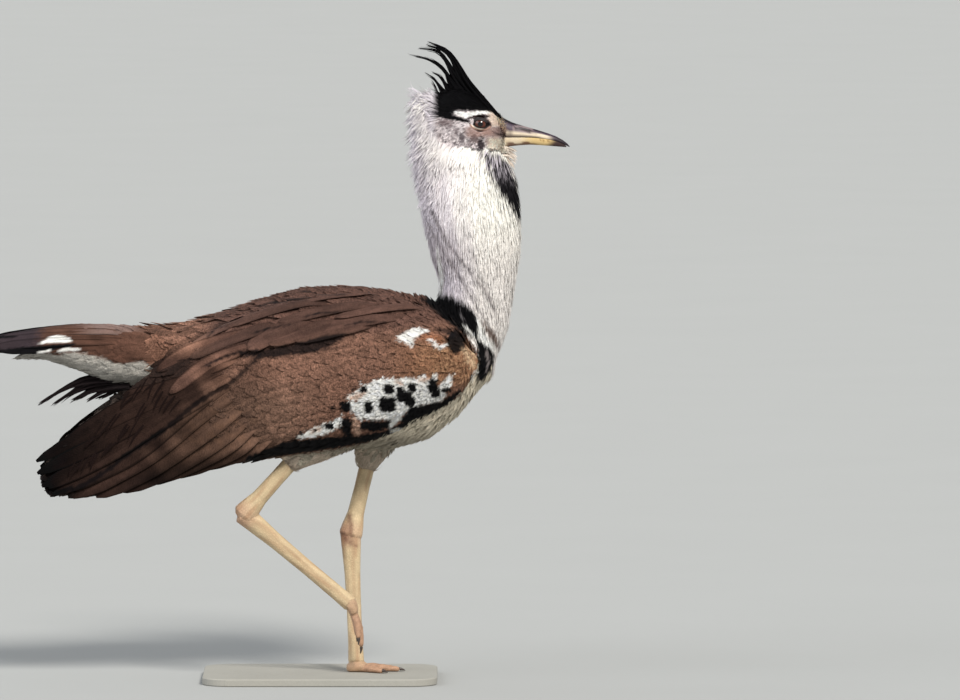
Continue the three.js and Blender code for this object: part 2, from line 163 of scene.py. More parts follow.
def flank_marks(x, y, p, colour):
    """Patches of wing and shoulder: rufous front, white shoulder, chequered band and black lower edge."""
    ragged = wobble(p, 0.009, 4.0) * 1.1
    coarse = smoothstep(-0.3, 0.7, wobble(p, 0.0085, 7.0))
    rufous = smoothstep(372, 440, x) * smoothstep(334, 350, y) * (1 - smoothstep(376, 394, y))
    colour = mix(colour, RUFOUS * (1 + 0.20 * wobble(p, 0.012, 3.0))[..., None], 0.9 * rufous)
    colour = mix(colour, lin(214, 172, 132), 0.32 * rufous * coarse * smoothstep(400, 450, x))
    colour = stroke(colour, lin(226, 196, 160), x, y, [(461, 347), (470, 356), (473, 365)], [2, 6, 3], 3,
        2 * ragged, 0.35 + 0.6 * coarse)
    colour = stroke(colour, lin(160, 104, 72), x, y, [(423, 337), (434, 337), (441, 341)], [3, 4, 2.5], 3,
        ragged, 0.6)
    colour = strokes(colour, x, y, ragged, (
        (WHITE, [(399, 338.6), (406, 336.4), (414, 333), (422, 331), (428, 331.6)],
            [1.6, 4.6, 4.8, 2.4, 0.8], 0.8, 1),
        (WHITE, [(407, 339), (413, 344)], [5, 2.2], 0.8, 1),
        (WHITE, [(430, 340), (436, 345.6), (441, 347.6), (448, 344)], [0.8, 1.7, 2.0, 0.9], 0.8, 0.6),
    ))
    white = (
        ([(352, 398), (362, 394), (374, 388), (385, 384), (397, 383), (410, 383), (424, 383)],
            [3, 6, 6, 5, 4.5, 5, 5]),
        ([(357, 406), (370, 407), (386, 404), (402, 398), (420, 393), (432, 396)], [5, 13, 16, 14, 14, 9]),
        ([(437, 397), (445, 387), (451.5, 375)], [6, 5.5, 1.5]),
        ([(352, 401), (356, 410), (362, 418)], [3, 4.5, 3]),
        ([(302, 436), (312, 433), (325, 429), (338, 423), (342, 417)], [2.4, 3.4, 4.8, 4.4, 1.5]),
        ([(383, 392), (382, 379)], [6, 1.5]), ([(395, 385), (392, 378)], [4, 1.4]),
        ([(407, 388), (408, 377)], [6, 1.6]),
        ([(424, 392), (424, 377)], [9, 2]), ([(433, 382), (436, 375)], [4, 1.2]),
        ([(366, 390), (363, 383)], [3.4, 1]),
    )
    for path, half in white:
        colour = stroke(colour, WHITE, x, y, path, half, 0.9, 1.5 * ragged)
    for path, half in (
        ([(352, 398), (358, 396), (366, 392)], [2, 3, 1.5]),
        ([(356, 419), (357, 426), (359, 433)], [2.4, 3.4, 3]), ([(420, 380), (427, 379)], 1.4),
        ([(396, 381), (402, 384)], 1.4), ([(313, 432), (322, 428)], [1.5, 1.5]),
    ):
        colour = stroke(colour, lin(196, 160, 138), x, y, path, half, 1.6, ragged, 0.85)
    edge = [(250, 459), (280, 450), (302, 446), (324, 443.5), (345, 441), (361, 439), (385, 434.5),
        (402, 427), (420, 419), (444, 404.5), (460, 391)]
    colour = stroke(colour, BLACK, x, y, edge, [3, 6, 7, 6.5, 5, 4.2, 3.8, 4, 5, 3.4, 2], 1.0, 0.9 * ragged)
    # painted shade: below the wing's black lower edge the cream lies in the wing's shade
    bottom = np.interp(x, [262, 280, 302, 324, 345, 360, 380, 400],
        [461, 457, 453.5, 450.5, 447, 444, 440, 436])
    colour = mix(colour, CREAM * 0.6, smoothstep(-0.5, 1.5, y - bottom + ragged) * smoothstep(268, 284, x)
        * (1 - smoothstep(400, 410, x)))
    for path, half in (
        ([(365, 425), (377, 426), (391, 423.5)], [4.5, 5.8, 3.6]), ([(346, 428), (350, 434)], [5, 4]),
        ([(405, 419), (413, 415), (426, 411), (440, 404)], [3.5, 8, 7, 3.2]),
        ([(280, 450), (297, 440)], [5, 3]),
    ):
        colour = stroke(colour, BLACK, x, y, path, half, 1.0, 1.1 * ragged)
    colour = stroke(colour, WHITE, x, y, [(404.5, 409), (398, 417), (390.5, 426)], [3.4, 3.6, 1.6], 0.9,
        ragged)
    for cx, cy, rx, ry in BLACK_SPOTS:
        dx, dy = np.abs(x - cx) / rx, np.abs(y - cy) / ry
        r = (dx ** 2.8 + dy ** 2.8) ** (1 / 2.8) + 0.10 * ragged
        colour = mix(colour, BLACK, 1 - smoothstep(0.9, 1.08, r))
    colour = stroke(colour, WHITE * 0.85, x, y, [(392, 431), (399, 429.6)], [1.5, 2.0], 0.9, 0.7 * ragged)
    # painted shadow in the gaps under overlapping feathers
    for path, half in GAP_SHADOWS:
        colour = stroke(colour, BLACK * 1.4, x, y, path, half, 1.4, 0.6 * ragged, 0.92)
    return colour


# Painted shadow in the gaps between the scapulars and along the wing's long feathers, and the slits in their
# torn vanes
GAP_SHADOWS = [
    ([(346, 335), (331, 340.5), (313, 346), (291, 350), (268, 353), (244, 354)],
        [1.5, 6.0, 6.5, 5.5, 4.8, 3.2]),
    ([(347, 346.5), (330, 349), (312, 351)], [0.5, 1.2, 0.5]),
    ([(300, 299.5), (282, 300.5), (256, 307)], [0.6, 1.6, 0.6]),
    ([(228, 315), (219, 325), (209, 338)], [0.5, 1.2, 0.5]),
    ([(246, 350), (226, 357), (205, 366)], [0.8, 1.6, 0.6]),
    ([(340, 312), (322, 313), (300, 318)], [0.4, 1.0, 0.4]),
    ([(384, 322), (362, 322), (345, 326)], [0.4, 0.9, 0.4]),
    ([(345, 295), (322, 294), (300, 291)], [0.4, 1.1, 0.5]),
    ([(290, 325), (272, 328), (252, 334)], [0.4, 1.0, 0.4]),
]
WING_LINE = ([40, 55, 80, 97, 113, 130, 147, 172, 190, 208, 230, 262],
    [494, 492, 487, 478, 467, 453, 442, 425, 410, 397, 385, 356])
SLITS = [(152, 377, 144, 393), (160, 379, 150, 399), (141, 385, 132, 400), (131, 392, 122, 407),
    (118, 411, 105, 434), (128, 425, 120, 441), (137, 424, 128, 440), (98, 450, 91, 467),
    (88, 454, 80, 471), (108, 419, 97, 437), (148, 405, 138, 421), (166, 392, 157, 408), (96, 432, 86, 447),
    (76, 462, 70, 476), (113, 440, 105, 455), (178, 396, 166, 411)]


def collar_marks(x, y, p, colour):
    """The black half collar at the foot of the neck, with its white streaks."""
    ragged = wobble(p, 0.009, 9.0) * 1.2
    path = [(421, 299), (429, 300.5), (436, 302), (446, 307), (458, 315), (468, 323), (476, 333)]
    colour = stroke(colour, BLACK, x, y, path, [1.5, 4.4, 7.5, 11, 12, 11, 6], 1.4, ragged)
    path = [(478, 330), (483, 345), (486, 358), (485, 368), (480, 378)]
    colour = stroke(colour, BLACK, x, y, path, [5, 6, 8, 7, 4], 1.4, ragged)
    colour = stroke(colour, lin(110, 94, 86), x, y, [(485, 326), (492, 335), (498, 347)], [2, 3.5, 1.5],
        1.4, ragged)
    colour = stroke(colour, lin(150, 140, 138), x, y, [(486, 350), (489, 361), (486, 371)], [0.8, 1.1, 0.6],
        0.8, 0.4 * ragged, 0.8)
    r = np.hypot((x - 456) / 10.5, (y - 341) / 13) + 0.15 * ragged
    colour = mix(colour, BLACK, 0.97 * (1 - smoothstep(0.75, 1.12, r)))
    colour = strokes(colour, x, y, ragged, (
        (BLACK * 2, [(438, 330), (447, 331), (452, 334)], [2, 3, 3], 1.5, 1, 0.8),
        (lin(150, 144, 146), [(460, 311), (462, 317), (464, 322)], [0.3, 0.6, 0.3], 0.6, 0.3, 0.5),
        (WHITE, [(464, 326), (468, 330), (474, 337)], [0.7, 1.4, 0.7], 0.7, 0.3),
        (WHITE, [(479, 323), (481, 337), (487, 343), (494, 349)], [1.4, 3.6, 2.8, 1.2], 0.9, 0.5),
        (WHITE * 0.8, [(476, 372), (472, 379)], [1.6, 1.2], 0.9, 1, 0.8),
    ))
    return colour


def brown_of(x, y, p, wing):
    """The ground colour of the back and the wings, which are dark behind."""
    blotch = wobble(p, 0.05, 5.0)
    ragged = wobble(p, 0.016, 2.0)
    colour = mix(np.broadcast_to(WING_BROWN, x.shape + (3,)), WING_LOW,
        smoothstep(365, 410, y) * (1 - smoothstep(280, 340, x)))
    mantle_line = np.interp(x, [200, 260, 300, 340, 400, 440], [362, 352, 345, 336, 332, 324])
    mantle = MANTLE * (0.85 + 0.3 * smoothstep(300, 380, x))[..., None]
    colour = mix(colour, mantle, (1 - smoothstep(-10, 8, y - mantle_line)) * smoothstep(185, 225, x))
    line = np.interp(x, *WING_LINE)
    above = 1 - smoothstep(-3.0, 5.0, y - line)
    upper = above * (1 - smoothstep(185, 268, x + 10 * blotch)) * smoothstep(335, 362, y)
    lower = (1 - above) * (1 - smoothstep(130, 240, x + 14 * blotch + 0.3 * (440 - y)))
    rear = upper + lower
    colour = mix(colour, REAR, 0.96 * wing * rear)
    pale = (1 - above) * smoothstep(165, 215, x) * (1 - smoothstep(240, 280, x))
    pale = pale * smoothstep(-0.2, 0.6, wobble(p, 0.02, 6.0))
    colour = mix(colour, lin(150, 112, 88), 0.28 * wing * pale * smoothstep(395, 415, y)
        * (1 - smoothstep(440, 455, y)))
    colour = mix(colour, WING_TIP, wing * (1 - smoothstep(58, 128, x + 0.5 * (y - 440))))
    low_edge = smoothstep(-19, -5, y - np.interp(x, [90, 150, 200, 250, 290], [496, 484, 470, 460, 452]))
    colour = mix(colour, WING_TIP, 0.7 * wing * low_edge * (0.3 + 0.7 * smoothstep(100, 150, x))
        * (1 - smoothstep(240, 290, x)))
    shade = np.interp(x, [130, 160, 190, 220, 250, 280], [0.95, 0.55, 0.36, 0.42, 0.56, 1.0])
    colour = colour * (1 - (1 - shade) * wing * (1 - above))[..., None]
    # painted shadow: a black line along the wing's main line, under the edge of the feathers above it
    near = wing * (x < 280)
    if near.any():
        distance, _ = polyline_distance(x, y, np.stack(WING_LINE, axis=1))
        colour = mix(colour, BLACK, 0.85 * near * (1 - smoothstep(1.2, 3.6, distance + 1.0 * ragged)))
    colour = mix(colour, TAIL_BROWN, (1 - wing) * (1 - smoothstep(170, 215, x)))
    slope = 0.30 + 0.25 * (1 - smoothstep(200, 300, x))
    across = p[..., 2] * np.cos(slope) - p[..., 0] * np.sin(slope)
    along = p[..., 0] * np.cos(slope) + p[..., 2] * np.sin(slope)
    streak = wobble(np.stack([0.10 * along, 0 * along, across], axis=-1), 0.0095, 4.0)
    return colour * (1 + 0.10 * blotch + 0.06 * ragged + 0.13 * streak)[..., None]


def neck_marks(x, y, p, normal):
    """White in the middle and greyer lower down, with painted shade that makes the side facing back lilac
    grey and dusky lower down, and barred streaks that run to its foot.
    """
    ragged = wobble(p, 0.016, 2.0)
    # painted shade: the side of the neck that faces back is lilac grey, and dusky lower down
    rear = 1 - smoothstep(-0.8, 0.2, normal[..., 0])
    down = smoothstep(200, 285, y)
    colour = mix(np.broadcast_to(NECK_WHITE, x.shape + (3,)), NECK_LOW, down)
    colour = mix(colour, NECK_GREY, np.clip(0.9 * rear, 0, 1))
    colour = mix(colour, NECK_REAR_SHADE, 0.75 * rear * smoothstep(215, 255, y)
        * (1 - 0.8 * smoothstep(262, 285, y)))
    fan = np.arctan2(x - 494, 410 - y)
    fine = 0.5 + 0.5 * np.sin(fan * 170 + 2.5 * wobble(p, 0.05, 3.0))
    dashes = smoothstep(-0.3, 0.6, wobble(p, 0.006, 8.0))
    colour = mix(colour, STREAK, 0.38 * down * fine ** 2 * dashes * (1 - 0.8 * smoothstep(484, 510, x)))
    for path, strength in (
        ([(432, 212), (446, 241), (469, 271), (484, 290), (494, 309)], 1.0),
        ([(427, 224), (440, 246), (461, 279), (479, 303)], 0.6),
        ([(450, 260), (466, 290), (483, 318), (494, 338)], 0.6),
        ([(470, 250), (484, 282), (496, 315)], 0.4),
    ):
        colour = stroke(colour, STREAK * 0.8, x, y, path, 1.3, 1.5, 0.0, strength * (0.6 + 0.4 * dashes))
    colour = stroke(colour, WHITE, x, y, [(437, 248), (439.5, 266), (441, 280), (439, 293)],
        [0.8, 2.0, 3.0, 3.2], 1.4, 0.0, 0.85)
    throat = [(480, 151), (490, 160), (502, 174), (511, 191), (517, 207), (521, 223)]
    tongues = wobble(p * np.array([1.8, 1.0, 0.6]), 0.007, 6.0) * 4.2
    pale = (smoothstep(-0.1, 0.6, wobble(p * np.array([1.7, 1.0, 0.8]), 0.0055, 2.0))
        * (1 - smoothstep(164, 190, y)))
    dark = mix(np.broadcast_to(BLACK * 2.5, x.shape + (3,)), NECK_GREY, 0.75 * pale)
    colour = stroke(colour, dark, x, y, throat, [2.5, 8, 12, 10, 7, 1], 1.6, tongues)
    return collar_marks(x, y, p, colour) * (1 + 0.04 * ragged)[..., None]


# The white brow's middle line
BROW_WHITE = [(455.5, 113), (459, 114.1), (466, 116), (471, 114.8), (478, 113.5), (486, 112.9),
    (490.5, 113.8)]


# Where the mottled cheek ends and the white neck begins
CHEEK_LINE = ([426, 434, 440, 452, 465, 478, 484, 490], [118, 136, 146, 150, 149, 151, 158, 160])
HEAD_PATCHES = [
    (445, 123, 9, 4.2, lin(112, 92, 92), 0.75), (434, 131, 2.2, 4.6, lin(60, 48, 54), 0.85),
    (439, 137, 2.4, 2.2, lin(96, 80, 84), 0.6),
    (481, 146, 4.2, 9, lin(42, 32, 38), 0.95), (462, 139, 3.2, 5.4, lin(72, 58, 66), 0.8),
    (456, 132, 2.6, 4.0, lin(110, 92, 96), 0.6),
    (454, 145, 5, 1.9, lin(96, 84, 90), 0.65), (474, 140, 4.4, 4.6, lin(104, 74, 70), 0.7),
    (468, 145, 3, 2, lin(88, 70, 74), 0.6),
    (488, 133, 6, 2.6, lin(172, 134, 120), 0.5), (490, 152, 7, 3, lin(54, 44, 52), 0.8),
    (499, 154, 4, 2.4, lin(120, 110, 124), 0.6),
    (449, 128, 3, 2, lin(126, 108, 112), 0.6), (487, 142, 2.4, 4, lin(124, 92, 84), 0.55),
    (495, 139, 3, 1.6, lin(186, 158, 140), 0.4),
]


def head_marks(x, y, p):
    """Black crown, white brow, black line through the eye, mottled grey cheek, pale lores and chin."""
    ragged = wobble(p, 0.006, 2.0)
    speckle = smoothstep(0.0, 0.5, 0.6 * wobble(p, 0.0046, 1.0) + 0.6 * wobble(p, 0.0085, 4.0))
    fleck = smoothstep(0.1, 0.6, wobble(p, 0.0036, 5.0))
    colour = np.broadcast_to(CHEEK, x.shape + (3,))
    colour = mix(colour, STREAK * 0.6, 0.72 * speckle * smoothstep(432, 440, x)
        * (1 - smoothstep(478, 488, x)))
    band = smoothstep(462, 470, x) * smoothstep(126, 129, y) * (1 - smoothstep(136, 140, y))
    colour = mix(colour, lin(164, 128, 116), 0.75 * band)
    colour = mix(colour, LORES, smoothstep(485, 490, x) * (1 - smoothstep(125, 129, y)))
    colour = mix(colour, lin(255, 238, 218), smoothstep(484, 491, x) * smoothstep(136, 141, y))
    colour = mix(colour, STREAK, 0.34 * fleck * smoothstep(484, 492, x) * smoothstep(122, 130, y))
    # painted light over the shade in the crease where the face meets the bill
    colour = stroke(colour, lin(255, 236, 214), x, y, [(497, 117), (502, 122), (504, 129)], [2.0, 4.0, 2.6],
        2.0, 0.0, 0.8)
    below = smoothstep(-1.0, 1.5, y - np.interp(x, *CHEEK_LINE) + 1.5 * ragged)
    colour = mix(colour, WHITE * 0.95, below * (1 - smoothstep(474, 482, x)))
    for cx, cy, rx, ry, paint, strength in HEAD_PATCHES:
        r = np.hypot((x - cx) / rx, (y - cy) / ry) + 0.35 * ragged
        colour = mix(colour, paint, strength * (1 - smoothstep(0.6, 1.2, r)))
    colour = stroke(colour, lin(66, 50, 50), x, y, [(492, 132), (499, 135), (512, 136.6)], [0.5, 1.1, 1.2],
        0.8, 0.0, 0.75)
    # painted shade under the brow, between the white brow and the eye
    colour = stroke(colour, lin(52, 36, 36), x, y, [(467, 119.4), (473, 117.6), (480, 116.4), (489, 117)],
        [0.8, 1.6, 1.8, 1.2], 0.9)
    colour = mix(colour, NECK_GREY * 1.12, 1 - smoothstep(426, 435, x - 0.2 * (y - 120)))
    colour = stroke(colour, BLACK, x, y, [(438, 113), (449, 117), (458, 119.5), (468, 122)],
        [4.5, 3.2, 2.2, 1.7], 0.6, 0.3 * ragged)
    above = smoothstep(-1.0, 1.0, np.interp(x, *BROW_LINE) - y + 0.6 * ragged)
    colour = mix(colour, BLACK, above * smoothstep(427, 436, x))
    return stroke(colour, WHITE, x, y, BROW_WHITE, [0.9, 2.1, 2.3, 1.9, 1.6, 1.4, 0.6], 0.5, 0.4 * ragged)


def tail_marks(x, y, p, normal):
    """Brown with a pale top, a dark end, white bars before it and grey-white coverts below."""
    ragged = wobble(p, 0.010, 2.0)
    colour = mix(np.broadcast_to(TAIL_DARK, x.shape + (3,)), TAIL_BROWN, smoothstep(128, 165, x))
    colour = colour * (1 + 0.16 * wobble(p, 0.03, 1.0))[..., None]
    top = smoothstep(0.78, 0.99, normal[..., 2]) * smoothstep(66, 104, x) * (1 - smoothstep(125, 150, x))
    colour = mix(colour, lin(150, 126, 118), 0.75 * top)
    colour = mix(colour, TAIL_GREY, 1 - smoothstep(34, 50, x + ragged * 3))
    colour = strokes(colour, x, y, ragged, (
        (BLACK * 1.6, [(-60, 358), (0, 356.5), (20, 354), (38, 350.5), (60, 346.5), (75, 344.5)],
            [8, 6.5, 6, 4.5, 2.4, 1.2], 1.0, 0.5),
        (BLACK * 1.6, [(-60, 336), (0, 337), (18, 336.5)], [1.6, 1.6, 0.8], 0.8, 0.5),
        (WHITE, [(42, 343.5), (52, 339.6), (60, 338.8), (70, 340)], [0.8, 3.0, 3.8, 2.2], 0.7, 0.4),
        (WHITE, [(41, 352.5), (52, 350.5)], 1.2, 0.7, 0.3),
        (WHITE, [(60, 351.2), (68, 349.8), (79, 349.6)], [1.2, 2.2, 1.4], 0.7, 0.3),
    ))
    line = np.interp(x, [20, 59, 80, 100, 123, 143, 162, 200], [358, 355, 352.5, 358, 364, 361, 365, 372])
    under = np.maximum(smoothstep(-1.0, 1.5, y - line + ragged) * smoothstep(46, 56, x),
        1 - smoothstep(-0.7, -0.45, normal[..., 2]))
    return mix(colour, UNDERTAIL, under), under


def marks(p, normal, label):
    """Base colour of the plumage at points, and how strongly fine bars show there."""
    x, y = screen(p)
    shape = x.shape + (3,)
    ragged = wobble(p, 0.016, 2.0)
    bars = np.zeros(x.shape)
    out = np.zeros(shape)
    if np.isin(label, (TRUNK, WING)).any():
        brown = brown_of(x, y, p, label == WING)
        lower = 1 - smoothstep(-0.62, -0.1, normal[..., 2] - 0.5 * smoothstep(440, 470, x))
        front = smoothstep(0.128, 0.168, p[..., 0])
        belly = np.clip(lower + front * smoothstep(384, 396, y + 0.9 * (x - 470)) + smoothstep(424, 436, y),
            0, 1)
        # painted shade: the cream darkens low on the belly
        cream = CREAM * (1 + 0.08 * ragged)[..., None] * (1 - 0.55 * smoothstep(430, 444, y))[..., None]
        trunk = mix(brown, cream, belly)
        trunk = collar_marks(x, y, p, trunk)
        out = np.where((label == TRUNK)[..., None], trunk, out)
        wing = collar_marks(x, y, p, flank_marks(x, y, p, brown))
        inside = smoothstep(0.05, 0.4, -normal[..., 1] * np.sign(p[..., 1]))
        wing = mix(wing, UNDERWING, inside)
        out = np.where((label == WING)[..., None], wing, out)
        pale = smoothstep(0.35, 0.6, out.mean(-1))
        bars = np.where(label == TRUNK, 0.9 - 0.6 * belly, bars)
        bars = np.where(label == WING, 0.9 - 0.8 * pale, bars)
    if (label == NECK).any():
        cheek = smoothstep(-1.5, 1.0, np.interp(x, *CHEEK_LINE) - y - 1.5 * wobble(p, 0.006, 2.0))
        cheek = cheek * smoothstep(430, 438, x) * (1 - smoothstep(478, 486, x))
        neck = mix(neck_marks(x, y, p, normal), head_marks(x, y, p), cheek)
        neck = collar_marks(x, y, p, mix(neck, MANTLE * 1.2,
            (1 - smoothstep(431, 437, x)) * smoothstep(284, 291, y)))
        out = np.where((label == NECK)[..., None], neck, out)
        bars = np.where(label == NECK, 0.12 + 0.25 * smoothstep(215, 260, y), bars)
    if (label == HEAD).any():
        out = np.where((label == HEAD)[..., None], head_marks(x, y, p), out)
        bars = np.where(label == HEAD, 0.15, bars)
    out = np.where((label == CREST)[..., None], BLACK, out)
    if (label == TAIL).any():
        tail, under = tail_marks(x, y, p, normal)
        out = np.where((label == TAIL)[..., None], tail, out)
        bars = np.where(label == TAIL, 0.35 + 0.1 * under, bars)
    out = np.where((label == THIGHS)[..., None], THIGH * (1 + 0.08 * ragged)[..., None], out)
    bars = np.where(label == THIGHS, 0.3, bars)
    return np.clip(out, 0.001, 1), bars


def spline(points, rows):
    """Rows of points along smooth curves through points, whose last two axes are points and coordinates."""
    points = np.asarray(points, float)
    count = points.shape[-2]
    first = 2 * points[..., :1, :] - points[..., 1:2, :]
    last = 2 * points[..., -1:, :] - points[..., -2:-1, :]
    p = np.concatenate([first, points, last], axis=-2)
    s = np.linspace(0, count - 1, rows)
    i = np.minimum(s.astype(int), count - 2)
    t = (s - i)[:, None]
    a, b, c, d = (p[..., i + k, :] for k in range(4))
    return 0.5 * (2 * b + (c - a) * t + (2 * a - 5 * b + 4 * c - d) * t ** 2
        + (3 * b - a - 3 * c + d) * t ** 3)


# Meshes
def build(name, verts, polygons, material, smooth=True):
    """A mesh object of vertices and of arrays of polygons, each array with corners of one count."""
    mesh = bpy.data.meshes.new(name)
    mesh.vertices.add(len(verts))
    mesh.vertices.foreach_set("co", np.ascontiguousarray(verts, np.float32).ravel())
    corners = np.concatenate([p.ravel() for p in polygons]).astype(np.int32)
    counts = np.concatenate([np.full(len(p), p.shape[1]) for p in polygons])
    starts = np.concatenate([[0], np.cumsum(counts)[:-1]]).astype(np.int32)
    mesh.loops.add(len(corners))
    mesh.loops.foreach_set("vertex_index", corners)
    mesh.polygons.add(len(counts))
    mesh.polygons.foreach_set("loop_start", starts)
    mesh.update(calc_edges=True)
    if smooth:
        mesh.shade_smooth()
    if material:
        mesh.materials.append(material)
    obj = bpy.data.objects.new(name, mesh)
    bpy.context.scene.collection.objects.link(obj)
    return obj


def ring_quads(rows, around, outward):
    """Squares between the rings of a grid that closes round. outward turns them the other way."""
    index = np.arange(rows * around).reshape(rows, around)
    low, high = index[:-1], index[1:]
    quads = np.stack([low, high, np.roll(high, -1, 1), np.roll(low, -1, 1)], axis=-1).reshape(-1, 4)
    return quads[:, ::-1] if outward else quads


def set_tint(obj, rgba):
    attribute = obj.data.attributes.new("tint", "FLOAT_COLOR", "POINT")
    attribute.data.foreach_set("color", np.ascontiguousarray(rgba, np.float32).ravel())


def with_alpha(rgb, alpha):
    alpha = np.broadcast_to(np.asarray(alpha, float), rgb.shape[:-1])
    return np.concatenate([rgb, alpha[..., None]], axis=-1)


def arrays_of(mesh):
    """Vertices and triangles of a mesh."""
    mesh.calc_loop_triangles()
    verts = np.zeros(len(mesh.vertices) * 3, np.float32)
    mesh.vertices.foreach_get("co", verts)
    tris = np.zeros(len(mesh.loop_triangles) * 3, np.int32)
    mesh.loop_triangles.foreach_get("vertices", tris)
    return verts.reshape(-1, 3).astype(float), tris.reshape(-1, 3)


def joined(names):
    """Vertices and triangles of CAD nodes together, and for each triangle the place of its node in names."""
    verts, tris, owner, start = [], [], [], 0
    for index, name in enumerate(names):
        v, t = arrays_of(NODES[name].data)
        verts.append(v)
        tris.append(t + start)
        owner.append(np.full(len(t), index))
        start += len(v)
    return np.concatenate(verts), np.concatenate(tris), np.concatenate(owner)


def remeshed(verts, tris, voxel):
    """The surface around solids, of squares about one voxel across. Crumbs are dropped."""
    obj = build("tmp_remesh", verts, [tris], None, smooth=False)
    modifier = obj.modifiers.new("Remesh", "REMESH")
    modifier.mode = "VOXEL"
    modifier.voxel_size = voxel
    graph = bpy.context.evaluated_depsgraph_get()
    mesh = bpy.data.meshes.new_from_object(obj.evaluated_get(graph))
    bpy.data.objects.remove(obj)
    v, t = arrays_of(mesh)
    bpy.data.meshes.remove(mesh)
    group = np.arange(len(v))
    while True:
        low = group[t].min(1)
        new = group.copy()
        for k in range(3):
            np.minimum.at(new, t[:, k], low)
        new = new[new]
        if (new == group).all():
            break
        group = new
    sizes = np.bincount(group[t[:, 0]], minlength=len(v))
    keep = sizes[group[t[:, 0]]] > 0.1 * sizes.max()
    t = t[keep]
    used = np.unique(t)
    index = np.full(len(v), -1)
    index[used] = np.arange(len(used))
    return v[used], index[t]


def edges_of(tris):
    e = np.concatenate([tris[:, [0, 1]], tris[:, [1, 2]], tris[:, [2, 0]]])
    return np.unique(np.sort(e, axis=1), axis=0)


def averaged(values, edges, count, times, share=0.5):
    """Values at vertices, moved towards the mean of their neighbours."""
    degree = np.bincount(edges.ravel(), minlength=count)[:, None].astype(float)
    flat = values.reshape(count, -1)
    for _ in range(times):
        total = np.stack(
            [
                np.bincount(edges[:, 0], flat[edges[:, 1], k], count)
                + np.bincount(edges[:, 1], flat[edges[:, 0], k], count)
                for k in range(flat.shape[1])
            ],
            axis=1,
        )
        flat = flat + share * (total / degree - flat)
    return flat.reshape(values.shape)


def taubin(verts, edges, times):
    """Smooth a surface without shrinking it."""
    for _ in range(times):
        verts = averaged(verts, edges, len(verts), 1, 0.6)
        verts = averaged(verts, edges, len(verts), 1, -0.62)
    return verts


def normals_of(verts, tris):
    a, b, c = verts[tris[:, 0]], verts[tris[:, 1]], verts[tris[:, 2]]
    face = np.cross(b - a, c - a)
    out = np.zeros_like(verts)
    for k in range(3):
        for axis in range(3):
            out[:, axis] += np.bincount(tris[:, k], face[:, axis], len(verts))
    return unit(out)


class Surface:
    """A triangle surface that knows its normals and other values at its vertices."""

    def __init__(self, verts, tris, **values):
        self.verts = verts
        self.tris = tris
        self.normals = normals_of(verts, tris)
        self.values = values
        self.tree = BVHTree.FromPolygons(verts.tolist(), tris.tolist())

    def at(self, points):
        """The nearest places on the surface, as a dictionary of arrays."""
        nearest = self.tree.find_nearest
        hits = [nearest(p) for p in points.tolist()]
        place_ = np.array([h[0][:] for h in hits])
        corners = self.tris[np.array([h[2] for h in hits])]
        distance = np.linalg.norm(self.verts[corners] - place_[:, None], axis=2)
        weight = 1 / (distance + 2e-4) ** 2
        weight = (weight / weight.sum(1, keepdims=True))[..., None]
        found = {"place": place_, "normal": unit((self.normals[corners] * weight).sum(1))}
        for key, value in self.values.items():
            v = value[corners]
            found[key] = (v * weight).sum(1) if v.ndim == 3 else (v * weight[..., 0]).sum(1)
        return found


# The skin: flesh nodes as one surface, inside them by the depth of the coat
FLESH = [
    ("trunk", TRUNK), ("neck", NECK), ("head", HEAD), ("crest", CREST), ("tail", TAIL),
    ("wing_left_arm", WING), ("wing_left_flight", WING), ("wing_right_arm", WING),
    ("wing_right_flight", WING),
    ("thigh_left", THIGHS), ("thigh_right", THIGHS),
]
EYE = np.array([0.199, 0.0, 0.880 + LIFT])
SKIN_VOXEL = 0.0045
# How deep the coat is over TRUNK, NECK, HEAD, CREST, WING, THIGHS and TAIL, and at the nape
COAT_DEPTHS = [0.011, 0.0075, 0.0032, 0.008, 0.0105, 0.006, 0.009]
NAPE_DEPTH = 0.012
THINNEST_SHARE = 0.42  # of the body's thickness that the coat may take
# Where each leg's feathers end, its ankle and the root of its toes. 1 is the left leg, -1 the right one
LEG_JOINTS = {
    1: np.array([(0.017, 0.044, 0.326), (-0.009, 0.028, 0.218), (0.0, 0.001, 0.017)]),
    -1: np.array([(-0.103, -0.062, 0.341), (-0.178, -0.056, 0.257), (-0.009, -0.046, 0.113)]),
}
BROW_LINE = ([420, 441, 451, 455, 458, 472, 489, 496, 504, 520],
    [121, 117, 116.5, 112, 111.6, 111.8, 111.8, 115, 119, 121])
CREST_CUT = place(455, 66)  # above it the crest is loose plumes


def without_plumes(verts, tris, owner):
    """The solids with the crest's loose plumes cut off and closed."""
    mine = owner == [name for name, _ in FLESH].index("crest")
    bm = bmesh.new()
    made = [bm.verts.new(v) for v in verts]
    for t in tris[mine]:
        bm.faces.new([made[i] for i in t])
    for point, normal in ((CREST_CUT, (-0.3, 0, 0.95)), (place(447, 90), (-1.0, 0, 0.2))):
        geometry = bm.verts[:] + bm.edges[:] + bm.faces[:]
        bmesh.ops.bisect_plane(bm, geom=geometry, plane_co=point, plane_no=normal, clear_outer=True)
        bmesh.ops.holes_fill(bm, edges=[e for e in bm.edges if e.is_boundary])
    bmesh.ops.triangulate(bm, faces=bm.faces[:])
    bm.verts.index_update()
    new_verts = np.array([v.co[:] for v in bm.verts])
    new_tris = np.array([[v.index for v in f.verts] for f in bm.faces])
    bm.free()
    rest = tris[~mine]
    index = owner[mine][0]
    owners = np.concatenate([owner[~mine], np.full(len(new_tris), index)])
    return np.concatenate([verts, new_verts]), np.concatenate([rest, new_tris + len(verts)]), owners


